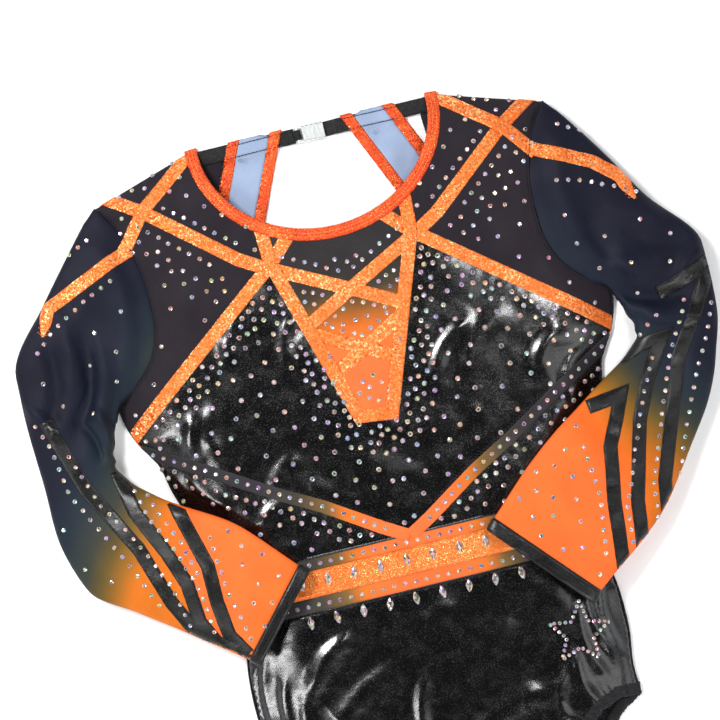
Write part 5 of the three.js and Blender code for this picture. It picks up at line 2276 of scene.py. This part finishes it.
@dataclass
class Stones:
    """Crystals gathered into one piece."""

    seed: int
    shape: Shape = field(default_factory=Shape)
    placed: list[Point] = field(default_factory=list)

    def __post_init__(self) -> None:
        """Starts this piece's own run of chances."""
        self.rng = random.Random(self.seed)

    def add(self, drop: Drop, x: float, y: float, radius: float = STONE) -> None:
        """Glues on one round stone.

        Args:
            drop: the surface it sits on.
            x: millimetres across.
            y: millimetres along.
            radius: its radius.
        """
        found = drop.at(x, y)
        if found is None:
            return
        spot, normal = found
        self.placed.append((x, y))
        rings = ((radius, -0.15), (radius, 0.22), (radius * 0.8, radius * 0.42),
                 (radius * 0.5, radius * 0.62))
        self.facet(spot, normal, rings, 8, 1.0, self.rng.uniform(0, 0.8))

    def facet(self, spot: Vector, normal: Vector, rings: Sequence[Point], sides: int, stretch: float,
              turn: float) -> None:
        """Cuts one stone, with a film tint and painted shading, from dark to bright, on each facet.

        Args:
            spot: where it sits.
            normal: which way it faces.
            rings: each ring's radius and height.
            sides: the sides of a ring.
            stretch: how much longer than wide it is, along its own y.
            turn: its turn about the normal.
        """
        side = Vector((math.cos(turn), math.sin(turn), 0))
        side = (side - normal * side.dot(normal)).normalized()
        up = normal.cross(side)
        verts = []
        for k, (radius, height) in enumerate(rings):
            for i in range(sides):
                angle = (i + 0.5 * (k % 2)) / sides * 2 * math.pi
                verts.append(tuple(spot + side * (radius * math.cos(angle))
                                   + up * (radius * stretch * math.sin(angle)) + normal * height))
        last = len(rings) - 1
        faces: list[tuple[int, ...]] = []
        for k in range(last):
            for i in range(sides):
                a, b = k * sides + i, k * sides + (i + 1) % sides
                faces.append((a, b, b + sides, a + sides))
        faces.append(tuple(last * sides + i for i in range(sides)))
        self.shape.add(np.array(verts), faces)
        main = self.rng.choice(FILM)
        for _ in faces:
            other = self.rng.choice(FILM)
            share = self.rng.uniform(0.2, 0.9)
            # painted shade and glint: each facet is darkened or brightened as if it caught or missed the
            # light
            shade = self.rng.choice((0.12, 0.4, 0.65, 0.85, 1.0, 1.1))
            self.shape.facets.append(tuple(min(1.0, shade * (m * (1 - share) + o * share))
                                           for m, o in zip(main, other)))

    def navette(self, drop: Drop, x: float, y: float, lean: float) -> None:
        """Glues on one pointed stone.

        Args:
            drop: the surface it sits on.
            x: millimetres across.
            y: millimetres along.
            lean: its turn from upright.
        """
        found = drop.at(x, y)
        if found is None:
            return
        spot, normal = found
        side = Vector((math.cos(lean), math.sin(lean), 0))
        up = normal.cross(side).normalized()
        side = up.cross(normal)
        verts, sides = [], 12
        for wide, height in ((1.0, -0.1), (1.0, 0.3), (0.66, 1.15), (0.34, 1.5)):
            for i in range(sides):
                angle = i / sides * 2 * math.pi
                across = 2.4 * wide * math.cos(angle) * (1 - 0.35 * abs(math.sin(angle)))
                along = 4.6 * (wide ** 0.7) * math.sin(angle)
                verts.append(tuple(spot + side * across + up * along + normal * height))
        faces = [(k * sides + i, k * sides + (i + 1) % sides, (k + 1) * sides + (i + 1) % sides,
                  (k + 1) * sides + i) for k in range(3) for i in range(sides)]
        faces.append(tuple(3 * sides + i for i in range(sides)))
        self.shape.add(np.array(verts), faces)
        for _ in faces:
            first, second = self.rng.choice(FILM), self.rng.choice(FILM)
            # painted shade and glint: each facet is darkened or brightened as if it caught or missed the
            # light
            shade = self.rng.choice((0.15, 0.45, 0.8, 1.1))
            self.shape.facets.append(tuple(min(1.0, shade * (p + q) / 2) for p, q in zip(first, second)))

    def row(self, drop: Drop, line: Line, pitch: float, radius: float = STONE, start: float = 0.0,
            jitter: float = 0.35) -> None:
        """Glues stones along a line.

        Args:
            drop: the surface they sit on.
            line: the row's line.
            pitch: how far apart they are.
            radius: their radius.
            start: where the first one is.
            jitter: how far each may stray.
        """
        ribbon = Ribbon(line, 1.0)
        for place in np.arange(start, ribbon.length + 0.1, pitch):
            (x, y), = ribbon.at(np.array([place]), 0.0)
            self.add(drop, x + self.rng.uniform(-jitter, jitter), y + self.rng.uniform(-jitter, jitter),
                     radius)

    def scatter(self, drop: Drop, zone: Line, gap: Surface, tries: int,
                radius: float = STONE) -> None:
        """Scatters stones that keep their distance from each other.

        Args:
            drop: the surface they sit on.
            zone: the outline they stay in.
            gap: gives the wanted distance between stones at plan points.
            tries: how many places are tried.
            radius: their radius.
        """
        rng = np.random.default_rng(self.seed)
        corners = np.array(zone, float)
        spots = rng.uniform(corners.min(0), corners.max(0), (tries, 2))
        spots = spots[inside(spots, zone)]
        wanted = gap(spots)
        order = np.argsort(wanted + rng.uniform(0, 0.6, len(wanted)))
        kept = np.array(self.placed) if self.placed else np.empty((0, 2))
        for i in order:
            if wanted[i] > 90:
                continue
            if len(kept) and np.min(np.hypot(*(kept - spots[i]).T)) < wanted[i]:
                continue
            before = len(self.placed)
            self.add(drop, *spots[i], radius)
            if len(self.placed) > before:
                kept = np.vstack([kept, spots[i]])

    def finish(self, name: str) -> bpy.types.Object:
        """Makes the piece.

        Args:
            name: its name.

        Returns:
            The piece.
        """
        LOG.info("%s: %d stones", name, len(self.placed))
        return self.shape.build(name, crystal_material(), smooth=False)


def inset(outline: Line, by: float) -> list[Point]:
    """Moves a convex outline's sides inward.

    Args:
        outline: the outline, anticlockwise.
        by: how far.

    Returns:
        The smaller outline.
    """
    corners = np.array(outline, float)
    result = []
    for i in range(len(corners)):
        before, here, after = corners[i - 1], corners[i], corners[(i + 1) % len(corners)]
        u, v = (here - before) / np.linalg.norm(here - before), (after - here) / np.linalg.norm(after - here)
        a, b = np.array([-u[1], u[0]]), np.array([-v[1], v[0]])
        result.append(tuple(here + by * (a + b) / (1 + a @ b)))
    return result


def offset_line(line: Line, by: float) -> list[Point]:
    """Moves a line to its left.

    Args:
        line: the line.
        by: how far.

    Returns:
        The moved line.
    """
    ribbon = Ribbon(line, 1.0)
    return [tuple(p) for p in ribbon.at(ribbon.run, by)]


@dataclass
class Trimming:
    """All the stones of the uniform."""

    front: Front
    sleeves: dict[Side, tuple[Sleeve, list[bpy.types.Object]]]

    def build(self) -> None:
        """Glues on every stone."""
        drop = Drop(self.front.solid)
        self.on_front(drop)
        self.on_yokes(drop)
        self.on_bands(drop)
        self.star(drop)
        for side in Side:
            self.on_sleeve(side)

    def on_front(self, drop: Drop) -> None:
        """Covers the foil panels and the insert.

        Args:
            drop: the front's surface.
        """
        for side in Side:
            stones = Stones(21 + side.value)
            v_line, yoke = side.line(V_LINE[1:]), side.line(YOKE_LINE)
            strip = side.line(STRIP_LINE)
            zone = side.line([(52, -99), (65, -107), (170, -187), (150, -198), (129, -209.5),
                              (84, -237), (54, -253.5), (17, -277), (1.5, -286), (1.5, -215.5),
                              (15.5, -213)])

            def gap(xy: np.ndarray) -> np.ndarray:
                """The stones' spacing: close by the seams, none right on them."""
                to_v, along_v = to_segments(xy, v_line)
                to_yoke, _ = to_segments(xy, yoke)
                near = np.minimum(to_v + 4 * ease((along_v - 60) / 60), to_yoke)
                low = np.where(xy[:, 0] * side.value < 46, 0, 6)
                return np.where(near < 7.2, 99, 5.7 + 6.5 * ease((near - 22 + low) / 20)
                                + 3.5 * ease((near - 48) / 20))

            stones.scatter(drop, zone, gap, 16000)
            below = side.line([(166, -202), (129, -223.5), (84, -251), (54, -267.5), (22, -288.5),
                               (30, -290.4), (120, -290.4), (128, -286), (141, -256), (152, -226)])

            def gap_below(xy: np.ndarray) -> np.ndarray:
                """The spacing under the strip, wider further down."""
                far, _ = to_segments(xy, strip)
                return 6.4 + 4.5 * ease((far - 12) / 14)

            stones.scatter(drop, below, gap_below, 5000)
            dress(stones.finish(f"crystals_front_{side.label}"), "bodice")

    def on_yokes(self, drop: Drop) -> None:
        """Covers the yokes in rows along their tapes.

        Args:
            drop: the front's surface.
        """
        for side in Side:
            stones = Stones(41 + side.value)
            cross = side.line(CROSS_TAPE)
            inner_row = offset_line([(76, -76.5), (122, -38.5)], 9.5)
            stones.row(drop, side.line(inner_row), 8.0, SMALL_STONE)
            outer_row = offset_line([(84, -71), (127, -34)], -10.5)
            stones.row(drop, side.line(outer_row), 8.0, SMALL_STONE)
            near_neck = side.line([(56, -84), (58, -60), (80, -40), (97, -14), (108, -24), (120, -33)])
            stones.scatter(drop, near_neck, lambda xy: 12 + 0 * xy[:, 0], 900, SMALL_STONE)
            zone = side.line([(77, -92), (132, -45), (143, -58), (133, -70), (131, -100), (135, -120),
                              (152, -145), (168, -160), (168, -174), (150, -160)])

            def gap(xy: np.ndarray) -> np.ndarray:
                """The spacing on the yoke, wider away from its tape."""
                far, _ = to_segments(xy, cross)
                return 7.6 + 13 * ease((far - 24) / 45)

            stones.scatter(drop, zone, gap, 7000, SMALL_STONE)
            top = side.line([(100, -3), (150, -16.5), (136, -22), (124, -21)])
            stones.scatter(drop, top, lambda xy: 9 + 0 * xy[:, 0], 500, SMALL_STONE)
            end = side.line([(143, -33), (150, -40), (146, -50), (140, -40)])
            stones.scatter(drop, end, lambda xy: 10 + 0 * xy[:, 0], 300, SMALL_STONE)
            dress(stones.finish(f"crystals_yoke_{side.label}"), "bodice")
        stones = Stones(61)
        for side in Side:
            stones.row(drop, side.line(((41, -85.5), (5, -104.3))), 8.0, SMALL_STONE)
            for x, y in ((27, -114), (21, -117), (33, -112), (34, -119), (28, -122)):
                stones.add(drop, side.value * (x - 1), y - 1, SMALL_STONE)
            stones.add(drop, side.value * 25, -160.5, SMALL_STONE)
        for x, y in ((-6, -96), (2, -99.5), (9, -97)):
            stones.add(drop, x, y, SMALL_STONE)
        diamond = inset([(0, -157), (33.5, -138.5), (0, -121.5), (-33.5, -138.5)], 4.6)
        stones.row(drop, [*diamond, diamond[0]], 7.8, SMALL_STONE)
        stones.row(drop, [(-11, -141), (11, -139)], 9.0, SMALL_STONE)
        for x, y in ((-7, -183), (1, -180), (-11, -190), (-3, -187.5), (6, -186), (9, -192), (1, -198),
                     (-5, -195)):
            stones.add(drop, x, y, SMALL_STONE)
        dress(stones.finish("crystals_insert"), "bodice")

    def on_bands(self, drop: Drop) -> None:
        """Sets the rows on the printed strips and the pointed stones.

        Args:
            drop: the front's surface.
        """
        stones = Stones(71)
        for side in Side:
            strip = [p for p in STRIP_LINE[:-1]] + [(10, -289.5)]
            stones.row(drop, side.line(strip), 7.7, SMALL_STONE, 7.0, 0.2)
        for y in ((WAIST_TOP + BAND_TOP) / 2, (BAND_BOTTOM + WAIST_BOTTOM) / 2 - 0.4):
            stones.row(drop, [(-121, y), (121, y)], 7.7, SMALL_STONE, 2.0, 0.2)
        dress(stones.finish("crystals_bands"), "bodice")
        pointed = Stones(73)
        for number in range(11):
            pointed.navette(drop, -81.2 + 18.72 * number, -309.8, 0.06 * math.sin(number * 2.1))
        for number in range(10):
            pointed.navette(drop, -81 + 18.75 * number, -337.2, 0.16 * math.sin(number * 1.7))
        piece = pointed.finish("pointed_crystals")
        dress(piece, "bodice")

    def star(self, drop: Drop) -> None:
        """Outlines a plain five-pointed star.

        Args:
            drop: the front's surface.
        """
        stones = Stones(81)
        corners = []
        for i in range(10):
            reach = STAR_REACH if i % 2 == 0 else STAR_REACH * 0.45
            turn = math.pi / 2 + i * math.pi / 5 - 0.2
            corners.append((STAR_MIDDLE[0] + reach * math.cos(turn), STAR_MIDDLE[1] + reach * math.sin(turn)))
        ribbon = Ribbon([*corners, corners[0]], 1.0)
        count = round(ribbon.length / 3.9)
        for place in np.arange(count) * ribbon.length / count:
            (x, y), = ribbon.at(np.array([place]), 0.0)
            stones.add(drop, x, y, 1.4)
        dress(stones.finish("crystal_star"), "bodice")

    def on_sleeve(self, side: Side) -> None:
        """Covers one sleeve.

        Args:
            side: which sleeve.
        """
        sleeve, pieces = self.sleeves[side]
        drop = Drop(pieces[:1])
        stones = Stones(91 + side.value)
        if side is Side.LEFT:
            rows = [((156, -79), (176, -84), (206, -98), (228, -110)), ((166, -41), (181, -49), (196, -66))]
            between = [(((222, -180), (204, -214), (187, -256), (172, -298), (168, -333)), 8.0),
                       (((191, -214), (178, -238), (165, -270), (150, -310), (147, -346)), 8.0),
                       (((240, -186), (232, -206), (221, -226), (205, -262), (190, -300)), 8.6),
                       (((200, -186), (188, -196), (176, -202)), 8.0)]
            zones = [([(160, -90), (224, -118), (240, -142), (222, -152), (196, -172), (178, -158),
                       (160, -138), (150, -110)], 19.0),
                     ([(128, -246), (140, -262), (133, -300), (129, -344), (119, -352), (70, -294),
                       (96, -268)], 12.5)]
            edge = ((130, -262), (133, -300), (128, -338))
        else:
            rows = [((160, -74), (182, -84), (206, -98), (222, -112)), ((170, -43), (190, -52), (204, -68))]
            between = [(((216, -186), (204, -222), (184, -254), (168, -290), (161, -325)), 8.0),
                       (((180, -212), (172, -240), (158, -268), (149, -300), (146, -334)), 8.0),
                       (((234, -160), (228, -176), (222, -212), (196, -262), (180, -300)), 8.4),
                       (((170, -224), (166, -236), (155, -258), (148, -284)), 8.0)]
            zones = [([(160, -88), (222, -118), (238, -150), (214, -178), (190, -176), (178, -158),
                       (160, -136), (150, -108)], 20.0),
                     ([(131, -258), (130, -285), (131, -310), (121, -343), (84, -296), (112, -262)], 12.5),
                     ([(228, -216), (236, -246), (222, -278), (196, -298), (184, -306), (200, -270)], 17.0)]
            edge = ((134, -262), (131, -300), (122, -340))
        for line in rows:
            stones.row(drop, side.line(line), 8.0, SMALL_STONE)
        for line, pitch in between:
            stones.row(drop, side.line(line), pitch, SMALL_STONE)
        stones.row(drop, side.line(edge), 8.4, SMALL_STONE)
        for zone, spacing in zones:
            stones.scatter(drop, side.line(zone), lambda xy, s=spacing: np.full(len(xy), s), 1500,
                           SMALL_STONE)
        piece = stones.finish(f"crystals_sleeve_{side.label}")
        sleeve.crossing(piece, "clear_plastic")


# ---- Studio ----------------------------------------------------------------------------------------


@dataclass(frozen=True)
class Lamp:
    """A soft studio light."""

    name: str
    place: tuple[float, float, float]
    size: tuple[float, float]
    power: float
    colour: Colour = (1.0, 1.0, 1.0)


@dataclass(frozen=True)
class Studio:
    """Floor, lights and camera."""

    view_wide: float = 0.504
    distance: float = 1.6
    turn: float = math.radians(-13.6)
    aim: Point = (-5.3, -167.9)
    sky: tuple[float, float] = (1.35, 0.05)
    lamps: tuple[Lamp, ...] = (
        Lamp("key", (-0.62, 0.72, 1.25), (0.34, 0.34), 21),
        Lamp("window", (0.55, 0.35, 1.45), (0.12, 0.45), 6),
        Lamp("fill", (0.1, -1.25, 1.2), (1.3, 0.3), 14),
        Lamp("strip", (-0.95, -0.20, 1.0), (0.12, 0.7), 5),
        Lamp("side", (1.15, -0.35, 1.25), (0.5, 1.0), 3),
    )

    def build(self) -> None:
        """Sets up the studio."""
        self.build_floor()
        self.build_lights()
        self.build_camera()

    def build_floor(self) -> None:
        """Lays a plain pale floor."""
        bpy.ops.mesh.primitive_plane_add(size=8, location=(0, 0, -0.0004))
        floor = bpy.context.object
        floor.name = "floor"
        paint = bpy.data.materials.new("floor_paint")
        paint.use_nodes = True
        shader = paint.node_tree.nodes["Principled BSDF"]
        shader.inputs["Base Color"].default_value = (0.96, 0.96, 0.96, 1)
        shader.inputs["Roughness"].default_value = 0.9
        shader.inputs["Specular IOR Level"].default_value = 0.1
        floor.data.materials.append(paint)
        floor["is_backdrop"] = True

    def build_lights(self) -> None:
        """Hangs the lamps and a pale sky."""
        low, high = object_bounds()
        middle = (Vector(low) + Vector(high)) / 2
        for lamp in self.lamps:
            data = bpy.data.lights.new(lamp.name, "AREA")
            data.shape, data.size, data.size_y = "RECTANGLE", *lamp.size
            data.energy, data.color = lamp.power, lamp.colour
            obj = bpy.data.objects.new(lamp.name, data)
            obj.location = lamp.place
            obj.rotation_euler = (middle - Vector(lamp.place)).to_track_quat("-Z", "Y").to_euler()
            bpy.context.scene.collection.objects.link(obj)
        world = bpy.data.worlds.new("studio")
        world.use_nodes = True
        bench = Bench(world.node_tree)
        upward = bench.node("ShaderNodeSeparateXYZ",
                            {0: bench.node("ShaderNodeTexCoord").outputs["Generated"]}).outputs["Z"]
        sky = world.node_tree.nodes["Background"]
        sky.inputs["Color"].default_value = (0.94, 0.96, 1.0, 1)
        world.node_tree.links.new(bench.spread(upward, 0.22, 0.58, *self.sky), sky.inputs["Strength"])
        bpy.context.scene.world = world
        bpy.context.scene.view_settings.view_transform = "Standard"

    def build_camera(self) -> None:
        """Places the camera straight over the uniform."""
        data = bpy.data.cameras.new("camera")
        data.sensor_width = 36.0
        data.lens = self.distance * data.sensor_width / self.view_wide
        data.clip_start, data.clip_end = 0.05, 30
        camera = bpy.data.objects.new("camera", data)
        camera.location = ORIGIN + Vector((self.aim[0] * MM, self.aim[1] * MM, self.distance))
        camera.rotation_euler = (0, 0, self.turn)
        bpy.context.scene.collection.objects.link(camera)
        bpy.context.scene.camera = camera


# ---- The whole uniform -----------------------------------------------------------------------------


class Uniform:
    """Everything that makes up the uniform."""

    def build(self) -> None:
        """Builds and dresses every piece."""
        front, back = Front(), Back()
        front.build()
        back.build()
        Clasp().build()
        sleeves = {}
        for side in Side:
            sleeve = Sleeve(side)
            sleeves[side] = (sleeve, sleeve.build())
        Trimming(front, sleeves).build()


def main() -> None:
    """Builds the uniform and its studio."""
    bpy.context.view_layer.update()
    Uniform().build()
    Studio().build()


if __name__ == "__main__":
    main()
